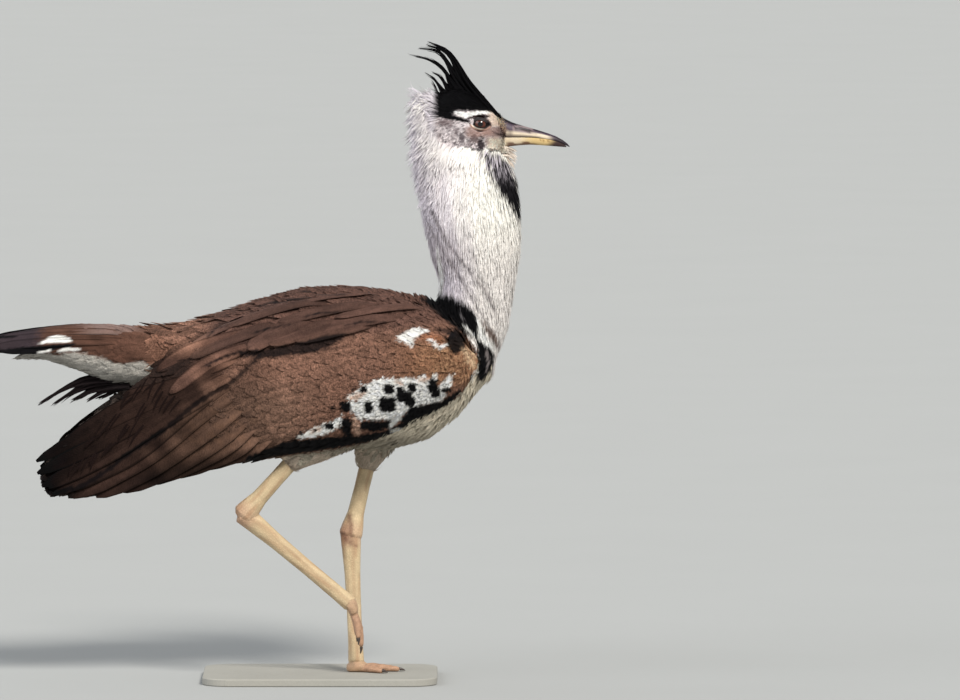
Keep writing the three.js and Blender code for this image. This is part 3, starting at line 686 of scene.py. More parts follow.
def make_skin():
    verts, tris, owner = without_plumes(*joined([name for name, _ in FLESH]))
    kinds = np.array([kind for _, kind in FLESH])[owner]
    solid_tree = BVHTree.FromPolygons(verts.tolist(), tris.tolist())
    v, t = remeshed(verts, tris, SKIN_VOXEL)
    edges = edges_of(t)
    v = taubin(v, edges, 14)
    normal = normals_of(v, t)
    nearest = solid_tree.find_nearest
    label = kinds[[nearest(p)[2] for p in v.tolist()]]
    shell_tree = BVHTree.FromPolygons(v.tolist(), t.tolist())
    inward = [shell_tree.ray_cast(p, d)[3] for p,
        d in zip((v - normal * 1e-4).tolist(), (-normal).tolist())]
    thickness = np.array([d if d is not None else 0.1 for d in inward])
    _, y = screen(v)
    depth = np.choose(label, COAT_DEPTHS)
    for joints in LEG_JOINTS.values():
        cuff = np.linalg.norm(v - (joints[0] + [0, 0, LIFT]), axis=1)
        depth = np.where(label == THIGHS, np.minimum(depth, 0.0022 + 0.06 * np.maximum(cuff - 0.020, 0)),
            depth)
    nape = (label == NECK) & (y < 150)
    depth = np.where(nape, NAPE_DEPTH, depth)
    face = np.hypot(v[:, 0] - EYE[0], v[:, 2] - EYE[2])
    depth = np.where(label == HEAD, np.minimum(depth, 0.0016 + 0.05 * face), depth)
    bill_root = smoothstep(0.224, 0.246, v[:, 0]) * smoothstep(0.836, 0.846, v[:, 2] - LIFT)
    depth = np.where(label == HEAD, depth + 0.011 * bill_root, depth)
    depth = np.minimum(depth, THINNEST_SHARE * thickness)
    depth = averaged(depth, edges, len(v), 6)
    inner = averaged(v - normal * depth[:, None], edges, len(v), 2)
    return v, inner, t, edges, label, depth


def lie_of(p, normal, label):
    """Which way the feathers lie, along the surface."""
    x, y = screen(p)
    n = len(p)
    out = np.tile((-1.0, 0.0, -0.30), (n, 1))
    # Neck: down, and in the lower half towards the foot of the neck in front
    goal = np.stack([(486 - x) * PIXEL, np.zeros(n), (y - 400) * PIXEL], axis=1)
    to_goal = unit(goal)
    straight = unit(np.stack([-0.10 - 0.35 * (1 - smoothstep(120, 175, y)), 0 * x, -1 + 0 * x], axis=1))
    neck = mix(straight, to_goal, 0.85 * smoothstep(195, 260, y))
    out = np.where((label == NECK)[:, None], neck, out)
    # Head: back along the cheek, up over the crown, down under the chin
    crown = smoothstep(-1.0, 6.0, np.interp(x, *BROW_LINE) - y)
    chin = smoothstep(137, 150, y)
    head = unit(mix(mix(np.array([-1.0, 0, -0.22]), np.array([-0.72, 0, 0.69]), crown),
        np.array([-0.35, 0, -0.9]), chin))
    out = np.where((label == HEAD)[:, None], head, out)
    out = np.where((label == CREST)[:, None], np.array([-0.6, 0, 0.8]), out)
    # Wings: a fan that closes towards the tip
    top = np.interp(x, [40, 71, 114, 160, 205, 270, 330, 400, 450],
        [455, 432, 389, 369, 341, 298, 285, 289, 310])
    bottom = np.interp(x, [40, 89, 160, 223, 280, 346, 413, 461, 480],
        [498, 500, 482, 466, 456, 447, 423, 390, 373])
    share = np.clip((bottom - y) / np.maximum(bottom - top, 5), 0, 1)
    high = np.interp(x, [120, 200, 250, 300, 400, 480], [36, 34, 26, 12, 4, 20])
    low = np.interp(x, [60, 150, 280, 340, 400, 440, 480], [9, 11, 12, 16, 22, 30, 50])
    angle = np.radians(low + (high - low) * share)
    wing = np.stack([-np.cos(angle), np.zeros(n), -np.sin(angle)], axis=1)
    out = np.where((label == WING)[:, None], wing, out)
    back = (label == TRUNK) & (normal[:, 2] > 0.2)
    out = np.where(back[:, None], np.array([-1.0, 0, 0.0]), out)
    leg = np.where((p[:, 1] > 0)[:, None], np.array([-0.27, -0.15, -0.95]), np.array([-0.78, 0.0, -0.62]))
    out = np.where((label == THIGHS)[:, None], leg, out)
    out = np.where((label == TAIL)[:, None], np.array([-1.0, 0, -0.02]), out)
    return unit(out - normal * (out * normal).sum(1, keepdims=True))


shell, skin_verts, skin_tris, skin_edges, skin_label, coat_depth = make_skin()
skin_normals = normals_of(skin_verts, skin_tris)
lie = lie_of(skin_verts, skin_normals, skin_label)
lie = averaged(lie, skin_edges, len(lie), 10)
lie = unit(lie - skin_normals * (lie * skin_normals).sum(1, keepdims=True))
SKIN = Surface(skin_verts, skin_tris, lie=lie, depth=coat_depth)
SHELL_TREE = BVHTree.FromPolygons(shell.tolist(), skin_tris.tolist())


# Materials
class Shader:
    """A material whose nodes are made one call at a time."""

    def __init__(self, name, roughness, specular=0.5, sheen=0.0, coat=0.0):
        self.material = bpy.data.materials.new(name)
        self.material.use_nodes = True
        self.tree = self.material.node_tree
        self.shader = self.tree.nodes["Principled BSDF"]
        self.shader.inputs["Roughness"].default_value = roughness
        self.shader.inputs["Specular IOR Level"].default_value = specular
        self.shader.inputs["Sheen Weight"].default_value = sheen
        self.shader.inputs["Sheen Roughness"].default_value = 0.45
        self.shader.inputs["Coat Weight"].default_value = coat
        self.shader.inputs["Coat Roughness"].default_value = 0.03

    def node(self, kind, inputs=(), **settings):
        made = self.tree.nodes.new(kind)
        for key, value in settings.items():
            setattr(made, key, value)
        for key, value in dict(inputs).items():
            socket = made.inputs[key]
            if hasattr(value, "is_output"):
                self.tree.links.new(value, socket)
            else:
                socket.default_value = value
        return made

    def math(self, operation, a, b=0.0, c=0.0):
        return self.node("ShaderNodeMath", {0: a, 1: b, 2: c}, operation=operation).outputs[0]

    def attribute(self, name):
        return self.node("ShaderNodeAttribute", attribute_name=name)

    def multiply(self, colour, factor):
        """A colour times a number."""
        mixer = self.node("ShaderNodeMix", data_type="RGBA", blend_type="MULTIPLY")
        mixer.inputs["Factor"].default_value = 1.0
        grey = self.node("ShaderNodeCombineColor", {0: factor, 1: factor, 2: factor}).outputs[0]
        self.tree.links.new(colour, mixer.inputs[6])
        self.tree.links.new(grey, mixer.inputs[7])
        return mixer.outputs[2]

    def noise(self, vector, scale, detail=2.0, roughness=0.5):
        inputs = {"Vector": vector, "Scale": scale, "Detail": detail, "Roughness": roughness}
        return self.node("ShaderNodeTexNoise", inputs).outputs[0]

    def finish(self, colour, height=None, depth=0.0, roughness=None):
        self.tree.links.new(colour, self.shader.inputs["Base Color"])
        if height is not None:
            bump = self.node("ShaderNodeBump", {"Height": height, "Strength": 1.0, "Distance": depth})
            self.tree.links.new(bump.outputs[0], self.shader.inputs["Normal"])
        if roughness is not None:
            self.tree.links.new(roughness, self.shader.inputs["Roughness"])
        return self.material


def plumage(name, barb=0.0009, bar=0.0050, depth=0.0002, rachis=0.0005, roughness=0.8, sheen=0.0, fray=0.05,
            specular=0.12, speckle=0.5, split=0.0):
    """Vanes: slanting barbs, irregular bars where the tint's alpha asks, splits and a shaft line."""
    s = Shader(name, roughness, specular=specular, sheen=sheen)
    tint = s.attribute("tint")
    vane = s.node("ShaderNodeSeparateXYZ", {0: s.attribute("vane").outputs["Vector"]})
    across = s.math("ABSOLUTE", vane.outputs[0])
    along = vane.outputs[1]
    place_ = s.node("ShaderNodeTexCoord").outputs["Object"]
    coarse = s.noise(place_, 70.0, 3.0)
    fine = s.noise(place_, 620.0, 2.0)
    slant = s.math("SUBTRACT", along, s.math("MULTIPLY", across, 1.1))
    bent = s.math("ADD", slant, s.math("MULTIPLY", coarse, 3 * barb))
    barbs = s.math("SINE", s.math("MULTIPLY", bent, 2 * math.pi / barb))
    level = s.math("ADD", along, s.math("MULTIPLY", across, -0.35))
    rough_level = s.math("ADD", level, s.math("MULTIPLY", s.noise(place_, 190.0, 3.0), 4.0 * bar))
    wave = s.math("SINE", s.math("MULTIPLY", rough_level, 2 * math.pi / bar))
    wave = s.math("MULTIPLY", wave, s.math("MULTIPLY", tint.outputs["Alpha"], 0.34))
    mottle = s.math("MULTIPLY", s.math("SUBTRACT", s.noise(place_, 240.0, 2.0), 0.5), tint.outputs["Alpha"])
    wave = s.math("MULTIPLY_ADD", mottle, 1.3, wave)
    shaft = s.math("LESS_THAN", across, rachis)
    value = s.math("MULTIPLY_ADD", coarse, 0.4, 0.8)
    value = s.math("ADD", value, wave)
    value = s.math("ADD", value, s.math("MULTIPLY", s.math("SUBTRACT", fine, 0.5), speckle))
    value = s.math("MULTIPLY_ADD", barbs, fray, value)
    value = s.math("MULTIPLY_ADD", shaft, -0.14, value)
    if split:
        torn = s.math("GREATER_THAN", s.noise(place_, 48.0, 2.0), 0.53)
        gap = s.math("MULTIPLY", s.math("GREATER_THAN", barbs, 0.45), torn)
        value = s.math("MULTIPLY_ADD", gap, -split, value)
    value = s.math("MAXIMUM", value, 0.25)
    height = s.math("MULTIPLY_ADD", shaft, 0.8, barbs)
    return s.finish(s.multiply(tint.outputs["Color"], value), height, depth)


def scaled(name):
    """Bare legs: small many-sided scales, longer down the leg, with dark joints between them."""
    s = Shader(name, 0.55, specular=0.3)
    place_ = s.attribute("vane").outputs["Vector"]
    cells = s.node("ShaderNodeTexVoronoi", {"Vector": place_, "Scale": 330.0, "Randomness": 0.75},
        feature="DISTANCE_TO_EDGE").outputs["Distance"]
    joint = s.math("MINIMUM", s.math("MULTIPLY", cells, 5.0), 1.0)
    grain = s.noise(s.node("ShaderNodeTexCoord").outputs["Object"], 900.0, 3.0)
    value = s.math("MULTIPLY_ADD", joint, 0.15, 0.76)
    value = s.math("MULTIPLY_ADD", grain, 0.16, value)
    return s.finish(s.multiply(s.attribute("tint").outputs["Color"], value), joint, 0.0003)


def tinted(name, scale, depth, roughness, specular=0.4, coat=0.0, contrast=0.3):
    """A tinted surface with fine grain."""
    s = Shader(name, roughness, specular, coat=coat)
    place_ = s.node("ShaderNodeTexCoord").outputs["Object"]
    grain = s.noise(place_, scale, 4.0, 0.6)
    value = s.math("MULTIPLY_ADD", grain, contrast, 1 - contrast / 2)
    return s.finish(s.multiply(s.attribute("tint").outputs["Color"], value), grain, depth)


PLUMAGE = {
    "plumage_brown": plumage("plumage_brown"),
    "plumage_dark": plumage("plumage_dark", barb=0.0052, bar=0.0060, roughness=0.75, rachis=0.0008,
        fray=0.03, specular=0.04, depth=0.00008, split=0.22),
    "plumage_white": plumage("plumage_white", barb=0.0012, depth=0.00012, rachis=0.0002, roughness=0.9,
        speckle=0.3),
    "plumage_grey": plumage("plumage_grey", barb=0.0010, depth=0.00012, roughness=0.9),
    "plumage_black": plumage("plumage_black", barb=0.0010, roughness=0.55, specular=0.06),
}
SKIN_MATERIAL = tinted("skin", 500.0, 0.0004, 0.9, specular=0.1)
LEG_MATERIAL = scaled("leg_scales")
BILL_MATERIAL = tinted("bill_horn", 300.0, 0.00015, 0.44, specular=0.22, contrast=0.22)
CLAW_MATERIAL = tinted("claw_horn", 400.0, 0.0001, 0.35)
EYE_MATERIAL = tinted("eye_wet", 900.0, 0.0, 0.12, 0.3, coat=0.4, contrast=0.2)
LID_MATERIAL = tinted("lid", 1200.0, 0.00012, 0.6)


# Feathers
SOFTNESS = 1.3  # share of the body's normal in that of a vane, against its own


class Coat:
    """A coat piece: it gathers vanes and makes them one mesh."""

    def __init__(self, name, slot, unwrap):
        self.name, self.slot, self.unwrap = name, slot, unwrap
        self.parts = []

    def add(self, grid, tint, across, along, patch, under=None):
        """grid is N vanes of R rows and C columns. patch is N corners and a size on the bake map.

        under is the body's normal beneath each point, for vanes that lie on it.
        """
        n, rows, cols = grid.shape[:3]
        first = (np.arange(n) * rows * cols)[:, None, None]
        r = np.arange(rows - 1)[None, :, None] * cols
        c = np.arange(cols - 1)[None, None, :]
        a = first + r + c
        quads = np.stack([a, a + cols, a + 1 + cols, a + 1], axis=-1).reshape(-1, 4)
        u = np.broadcast_to(np.linspace(0, 1, cols), (n, rows, cols))
        v = np.broadcast_to(np.linspace(0, 1, rows)[:, None], (n, rows, cols))
        corner, size = patch
        uv = np.stack([corner[:, 0, None, None] + u * size[0], corner[:, 1, None, None] + v * size[1]],
            axis=-1)
        vane = np.stack([across, along, v], axis=-1)
        under = np.zeros(grid.shape) if under is None else np.broadcast_to(under, grid.shape)
        self.parts.append([x.reshape(-1, x.shape[-1]) for x in (grid, tint, vane, uv, under)] + [quads])

    def make(self):
        start, quads = 0, []
        for part in self.parts:
            quads.append(part[5] + start)
            start += len(part[0])
        quads = np.concatenate(quads)
        verts, tint, vane, uv, under = (np.concatenate([p[k] for p in self.parts]) for k in range(5))
        obj = build(self.name, verts, [quads], PLUMAGE[self.slot])
        set_tint(obj, tint)
        attribute = obj.data.attributes.new("vane", "FLOAT_VECTOR", "POINT")
        attribute.data.foreach_set("vector", np.ascontiguousarray(vane, np.float32).ravel())
        layer = obj.data.uv_layers.new(name="OFBake")
        layer.data.foreach_set("uv", np.ascontiguousarray(uv[quads.ravel()], np.float32).ravel())
        bent = np.zeros(len(verts) * 3, np.float32)
        obj.data.vertex_normals.foreach_get("vector", bent)
        obj.data.normals_split_custom_set_from_vertices(unit(bent.reshape(-1, 3) + SOFTNESS * under))
        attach(obj, "root")
        return obj


def round_the_body(p):
    """Unwrap along the body's length and round it."""
    turn = np.arctan2(p[:, 1], p[:, 2] - 0.50) / (2 * math.pi) + 0.5
    return np.stack([(p[:, 0] + 0.64) / 1.0, turn], axis=1)


def round_the_neck(p):
    """Unwrap up the neck and round it."""
    axis = np.interp(p[:, 2], [0.5, 0.7, 0.85, 1.0], [0.185, 0.190, 0.165, 0.160])
    turn = np.arctan2(p[:, 1], p[:, 0] - axis) / (2 * math.pi) + 0.5
    return np.stack([turn, (p[:, 2] - 0.35) / 0.70], axis=1)


PATCH = 0.003  # of a tuft on the bake map


def tuft_patches(roots, unwrap):
    return np.clip(unwrap(roots), 0, 1) * (1 - PATCH), (PATCH, PATCH)


def vane_grid(centre, normal, half_width, profile, cols, camber, roll):
    """Points across centre lines: N lines of R points."""
    forward = unit(np.gradient(centre, axis=1))
    side = unit(np.cross(normal, forward))
    up = np.cross(forward, side)
    u = np.linspace(-1, 1, cols)
    width = half_width[:, None] * profile[None]
    offset = width[..., None] * u
    drop = camber * width[..., None] * (u * u) - roll[:, None, None] * offset
    grid = centre[:, :, None] + side[:, :, None] * offset[..., None] - up[:, :, None] * drop[..., None]
    step = np.linalg.norm(np.diff(centre, axis=1), axis=2)
    length = np.concatenate([np.zeros((len(centre), 1)), np.cumsum(step, axis=1)], axis=1)
    return grid, offset, np.broadcast_to(length[..., None], offset.shape)


PROFILES = {
    "round": ([0, 0.15, 0.35, 0.6, 0.82, 0.94, 1], [0.35, 0.72, 0.96, 1.0, 0.84, 0.55, 0.14]),
    "pointed": ([0, 0.15, 0.4, 0.65, 0.85, 1], [0.4, 0.8, 1.0, 0.82, 0.45, 0.05]),
    "hair": ([0, 0.2, 0.5, 0.8, 1], [0.6, 1.0, 0.85, 0.55, 0.06]),
    "flight": ([0, 0.08, 0.3, 0.7, 0.88, 0.96, 1], [0.2, 0.55, 0.9, 1.0, 0.86, 0.55, 0.16]),
}


def profile_of(name, rows):
    return np.interp(np.linspace(0, 1, rows), *PROFILES[name])


def per_feather(value, found):
    """A number, or a function of what is under the roots, as one value for each feather."""
    made = value(found) if callable(value) else value
    return np.broadcast_to(np.asarray(made, float), (len(found["place"]),)).copy()


def grow(coat, roots, label, rng, length, width, rows=5, cols=3, profile="round", rise=0.85, start=0.0006,
        camber=0.35, yaw=0.12, cling=1.0, sprout=0.0, shade=0.08, edge=1.06, shift=0.0008, root_shade=0.0):
    """Feathers on the skin, which run along the lie while their height climbs to rise times the depth."""
    if not len(roots):
        return
    found = SKIN.at(roots)
    n = len(roots)
    long = per_feather(length, found) * rng.uniform(0.85, 1.15, n)
    wide = per_feather(width, found) * rng.uniform(0.88, 1.12, n) / 2
    top = per_feather(rise, found) * found["depth"] * rng.uniform(0.8, 1.1, n)
    turn = rng.normal(0, yaw, n)[:, None]
    place_, normal = found["place"], found["normal"]
    heading = unit(found["lie"] * np.cos(turn) + np.cross(normal, found["lie"]) * np.sin(turn))
    heading = unit(heading + normal * per_feather(sprout, found)[:, None])
    centres, normals = [place_], [normal]
    step = (long / (rows - 1))[:, None]
    for _ in range(rows - 1):
        target = place_ + heading * step
        found_next = SKIN.at(target)
        held = target * (1 - cling) + found_next["place"] * cling
        moved = unit(held - place_)
        lie_next = unit(found_next["lie"] * np.cos(turn)
            + np.cross(found_next["normal"], found_next["lie"]) * np.sin(turn))
        heading = unit(moved * 0.75 + lie_next * 0.25 * cling)
        place_ = held
        if cling < 1:
            normal = unit(normal * (1 - cling) + found_next["normal"] * cling)
        else:
            normal = found_next["normal"]
        centres.append(place_)
        normals.append(normal)
    centre = np.stack(centres, axis=1)
    normal = np.stack(normals, axis=1)
    v = np.linspace(0, 1, rows)
    height = start + np.maximum(top - start, 0.0003)[:, None] * (v ** 0.8)[None]
    centre = centre + normal * height[..., None]
    roll = rng.normal(0, 0.12, n)
    grid, across, along = vane_grid(centre, normal, wide, profile_of(profile, rows), cols, camber, roll)
    offset = rng.normal(0, shift, (n, 1, 1, 3))
    labels = np.full(grid.shape[:3], label)
    normal_grid = np.broadcast_to(normal[:, :, None], grid.shape)
    rgb, bars = marks(grid + offset, normal_grid, labels)
    u = np.abs(np.linspace(-1, 1, cols))
    fringe = np.maximum(u[None] ** 3, v[:, None] ** 6)
    gain = rng.normal(1, shade, (n, 1, 1)) * (1 + (per_feather(edge, found)[:, None, None] - 1) * fringe)
    # painted shade on the root part of each feather, which the feathers above overlap
    gain = gain * (1 - root_shade * (1 - v[:, None]) ** 2)
    rgb = np.clip(rgb * gain[..., None], 0.002, 0.95)
    coat.add(grid, with_alpha(rgb, bars), across, along, tuft_patches(roots, coat.unwrap), normal_grid)


def scattered(choose, spacing, seed):
    """Roots about spacing, or spacing(places), apart on the skin's triangles that choose picks."""
    rng = np.random.default_rng(seed)
    corners = SKIN.verts[SKIN.tris]
    middle = corners.mean(1)
    picked = choose(middle, SKIN.normals[SKIN.tris].mean(1), skin_label[SKIN.tris[:, 0]])
    index = np.nonzero(picked)[0]
    if not len(index):
        return np.zeros((0, 3))
    gap = spacing(middle[index]) if callable(spacing) else np.full(len(index), spacing)
    first, second, third = (corners[index, k] for k in range(3))
    area = np.linalg.norm(np.cross(second - first, third - first), axis=1) / 2
    weight = area / gap ** 2
    count = int(weight.sum() * 3.2) + 4
    pick = rng.choice(len(index), count, p=weight / weight.sum())
    a, b = rng.random((2, count, 1))
    flip = a + b > 1
    a, b = np.where(flip, 1 - a, a), np.where(flip, 1 - b, b)
    tri = corners[index[pick]]
    points = tri[:, 0] + a * (tri[:, 1] - tri[:, 0]) + b * (tri[:, 2] - tri[:, 0])
    radius = gap[pick] * 0.72
    tree = KDTree(count)
    listed = points.tolist()
    for i, p in enumerate(listed):
        tree.insert(p, i)
    tree.balance()
    alive = np.ones(count, bool)
    for i in range(count):
        if alive[i]:
            for _, j, _ in tree.find_range(listed[i], radius[i]):
                if j > i:
                    alive[j] = False
    return points[alive]


DENSITY = 1.0


def region(test):
    return lambda p, normal, label: test(p, normal, label, *screen(p))


coats = []


def new_coat(name, slot, unwrap):
    coats.append(Coat(name, slot, unwrap))
    return coats[-1]


rng = np.random.default_rng(7)
LID_HALF = (0.0172, 0.0098)  # the bare ring round the eye, along and up


# Neck: long soft feathers that hang down, loose and wispy at the nape
def neck_between(low, high):
    return region(lambda p, n, l, x, y: (l == NECK) & (p[:, 2] >= low) & (p[:, 2] < high))


NECK_HEIGHTS = (0.40, 0.722, 1.1)  # the lower and the upper coat meet at the middle one
for name, low, high, seed in (
    ("coat_neck_lower", *NECK_HEIGHTS[:2], 1), ("coat_neck_upper", *NECK_HEIGHTS[1:], 2),
):
    coat = new_coat(name, "plumage_white", round_the_neck)
    roots = scattered(neck_between(low, high), 0.0036 * DENSITY, seed)
    grow(coat, roots, NECK, rng, length=0.040, width=0.0044, rows=6, profile="pointed", rise=1.15, yaw=0.07,
        camber=0.3, shade=0.035)
    wisps = scattered(neck_between(low, high), 0.0060 * DENSITY, seed + 10)
    grow(coat, wisps, NECK, rng, length=0.044, width=0.0017, rows=6, profile="hair", rise=1.3, yaw=0.12,
        camber=0.3, shade=0.06, cling=0.93)
nape_coat = new_coat("coat_nape", "plumage_white", round_the_neck)
nape = scattered(
    region(lambda p, n, l, x, y: ((l == NECK) | (l == HEAD)) & (y < 226) & (n[:, 0] < -0.05) & (x < 442)),
    0.0029 * DENSITY, 5)
grow(nape_coat, nape, NECK, rng,
    length=lambda f: np.interp(screen(f["place"])[1], [90, 150, 190, 226], [0.028, 0.029, 0.027, 0.024]),
    width=0.0017, rows=6, profile="hair", rise=0.9, yaw=0.24, cling=0.0,
    sprout=lambda f: np.interp(screen(f["place"])[1], [90, 150, 185, 226], [0.58, 0.50, 0.32, 0.12]),
    shade=0.035, edge=1.03)


# Head: short feathers, smallest by the bill and the eye
def face_size(p):
    """Share of the full feather size, smaller near the bill and the eye."""
    eye = np.hypot(p[:, 0] - EYE[0], p[:, 2] - EYE[2])
    bill = np.maximum(0.245 - p[:, 0], 0)
    return np.clip(np.minimum(0.30 + eye * 24, 0.42 + bill * 11), 0.4, 1.0)


def off_the_eye(p):
    return np.hypot((p[:, 0] - EYE[0]) / LID_HALF[0], (p[:, 2] - EYE[2]) / LID_HALF[1]) > 0.93


def off_the_bill(p):
    return (p[:, 0] < 0.236) | (p[:, 2] < 0.842 + LIFT)


head_coat = new_coat("coat_head", "plumage_white", round_the_neck)
face = scattered(
    region(lambda p, n, l, x, y: (l == HEAD) & off_the_eye(p) & off_the_bill(p)
        & (y > np.interp(x, *BROW_LINE) - 1)),
    lambda p: 0.0021 * DENSITY * face_size(p), 21)
grow(head_coat, face, HEAD, rng, length=lambda f: 0.0105 * face_size(f["place"]),
    width=lambda f: 0.0030 * face_size(f["place"]), rows=4, profile="pointed", rise=0.95, yaw=0.16,
    shade=0.08, shift=0.0004)
crown_coat = new_coat("coat_crown", "plumage_black", round_the_neck)
crown = scattered(
    region(lambda p, n, l, x, y: ((l == HEAD) & off_the_bill(p) & (y <= np.interp(x, *BROW_LINE) + 1))
        | (l == CREST)),
    lambda p: 0.0028 * DENSITY * face_size(p), 22)
grow(crown_coat, crown, HEAD, rng,
    length=lambda f: np.interp(f["place"][:, 0], [0.13, 0.17, 0.20, 0.25], [0.046, 0.036, 0.018, 0.007]),
    width=lambda f: 0.0040 * face_size(f["place"]), rows=5, profile="pointed", rise=0.8, yaw=0.10,
    cling=0.95, shade=0.15, shift=0.0004)


GUIDE_STEPS = 24  # of a guide's curve


# Plumes that stand free follow guides, given in pixels from root to tip
def plumes(coat, guides, rng, spread, colour, width, rows=12, end=(0.75, 1.0), jitter=1.5, gather=0.12,
        y_root=0.016, y_tip=0.004):
    """Plumes that start spread out between the guides and gather on them towards their tips."""
    for index, (_, count) in enumerate(guides):
        lines = np.stack([spline(np.array(g, float), GUIDE_STEPS) for g, _ in guides])
        own = lines[index][None]
        offset = rng.normal(0, spread, count)
        other = np.clip(np.where(offset < 0, index - 1, index + 1), 0, len(guides) - 1)
        s = np.linspace(0, 1, GUIDE_STEPS)[None]
        spread_out = np.minimum(np.abs(offset), 1)[:, None] * (1 - smoothstep(0.1, 0.75, s))
        share = spread_out + np.abs(rng.normal(0, gather, (count, 1))) * s
        line = own + (lines[other] - own) * share[..., None]
        phase = rng.uniform(0, 2 * math.pi, (count, 2, 1))
        sway = np.sin(s * 4.0 + phase) * jitter * rng.uniform(0.3, 1, (count, 1, 1)) * s ** 1.2
        line = line + np.moveaxis(sway, 1, 2)
        stop = rng.uniform(end[0], end[1], count)
        stop[: max(1, count // 6)] = 1.0
        pick = stop[:, None] * np.linspace(0, 1, rows)[None] * (GUIDE_STEPS - 1)
        low = np.minimum(pick.astype(int), GUIDE_STEPS - 2)
        t = (pick - low)[..., None]
        first, second = (np.take_along_axis(line, low[..., None] + k, 1) for k in (0, 1))
        near = first * (1 - t) + second * t
        side = rng.uniform(-1, 1, (count, 1))
        v = np.linspace(0, 1, rows)[None]
        y = (side * (y_root + (y_tip - y_root) * smoothstep(0, 0.8, v))
            + 0.0015 * np.sin(v * 5 + phase[:, 0]))
        z = place(near[..., 0], near[..., 1], 0.0)
        centre = np.stack([z[..., 0], y, z[..., 2]], axis=-1)
        lean_x = rng.normal(0, 0.25, (count, 1)) + 0 * v
        lean_z = rng.normal(0, 0.25, (count, 1)) + 0 * v
        normal = unit(np.stack([lean_x, np.sign(side) + 0 * v, lean_z], axis=-1))
        wide = np.full(count, width / 2) * rng.uniform(0.7, 1.3, count)
        grid, across, along = vane_grid(centre, normal, wide, profile_of("hair", rows), 3, 0.3,
            rng.normal(0, 0.2, count))
        rgb = np.broadcast_to(colour, grid.shape) * rng.uniform(0.8, 1.25, (count, 1, 1, 1))
        coat.add(grid, with_alpha(rgb, 0.0), across, along, tuft_patches(centre[:, 0], coat.unwrap))


CREST_GUIDES = [
    ([(501, 118), (484, 98.5), (469.5, 81.5), (461, 68), (453.5, 57), (443.5, 48.5), (428, 42.5)], 70),
    ([(496, 116), (478, 98), (464, 82), (456.5, 69), (450, 57.5), (441.5, 50), (427, 45.5)], 60),
    ([(491, 115), (473, 99), (459, 83), (451.5, 70), (445.5, 59), (437, 51), (418.5, 48.8)], 54),
    ([(485, 113), (469, 100), (456.5, 88), (448, 77), (440.5, 67.5), (428, 60), (408, 55.8)], 20),
    ([(481, 112), (467, 100), (456, 89), (449.5, 79.5), (445.5, 72), (441.5, 67), (434, 62.5)], 12),
    ([(476, 112), (464, 101), (455, 92), (450, 84), (446.5, 77), (444, 71), (441, 66)], 16),
    ([(472, 112), (459, 102), (451, 93.5), (446, 86), (442, 79.5), (438, 75), (432, 71.5)], 14),
    ([(468, 113), (456, 105), (447.5, 98), (442, 91), (438, 84.5), (433, 78.5), (424, 73)], 16),
    ([(465, 114), (454, 110), (446, 105), (440.5, 99), (437, 93), (434.5, 87), (431, 81)], 14),
    ([(464, 115), (454, 113), (446, 110), (440.5, 106), (436.5, 102), (434, 98), (431.5, 93)], 20),
    ([(464, 116), (455, 117), (447, 117), (441, 116), (435.5, 112.5), (430.5, 107), (426.4, 100)], 34),
]
crest_coat = new_coat("coat_crest", "plumage_black", round_the_neck)
plumes(crest_coat, CREST_GUIDES, rng, 0.6, BLACK, 0.0030, gather=0.10, jitter=1.2, end=(0.6, 1.0))
FLUFF_GUIDES = [
    ([(434, 106), (428, 100), (421, 94), (413, 89), (407, 86.5)], 12),
    ([(432, 111), (426, 105), (419, 100), (412, 96), (407, 94)], 34),
    ([(430, 117), (424, 112), (417, 108), (411, 105), (406, 104)], 44),
]
plumes(nape_coat, FLUFF_GUIDES, rng, 0.6, lin(214, 208, 214), 0.0011, end=(0.55, 1.0), gather=0.8,
    jitter=2.6, y_root=0.024, y_tip=0.018)
CHIN_GUIDES = [
    ([(496, 144), (503, 146), (509, 148), (514, 150), (517, 151.5)], 34),
    ([(494, 147), (502, 150), (509, 154), (514, 157), (517, 160)], 34),
    ([(492, 151), (499, 156), (506, 161), (511.5, 165), (515.5, 170)], 30),
]
plumes(head_coat, CHIN_GUIDES, rng, 0.6, lin(232, 218, 204), 0.0019, end=(0.6, 1.0), gather=0.3,
    y_root=0.015, y_tip=0.008)

# Trunk
def back_rise(found):
    """The back's feathers stand up a little, most of all those of the black collar behind the neck."""
    x, y = screen(found["place"])
    high = np.interp(x, [200, 280, 330, 380, 414, 440], [0.85, 1.3, 1.3, 0.85, 1.0, 1.8])
    return (0.85 + (high - 0.85) * smoothstep(0.1, 0.5, found["normal"][:, 2])
        * (1 - smoothstep(318, 330, y)))


for name, slot_name, test, gap, seed, long, wide, edge, cols in (
    ("coat_back", "plumage_brown",
        lambda p, n, l, x, y: (l == TRUNK) & (n[:, 2] > -0.1) & (p[:, 0] < 0.15),
        0.0085, 31, 0.042, 0.018, 1.35, 5),
    ("coat_breast", "plumage_white",
        lambda p, n, l, x, y: (l == TRUNK) & ((n[:, 2] <= -0.1) | (p[:, 0] >= 0.15)),
        0.0060, 32, 0.034, 0.0105, 1.04, 3),
):
    coat = new_coat(name, slot_name, round_the_body)
    def trunk_length(found, long=long):
        front = (smoothstep(392, 424, screen(found["place"])[0])
            * smoothstep(0.1, 0.5, found["normal"][:, 2]))
        return long * (1 - 0.42 * front)

    grow(coat, scattered(region(test), gap * DENSITY, seed), TRUNK, rng, length=trunk_length, width=wide,
        rows=6, rise=back_rise, yaw=0.12, edge=edge, cols=cols)

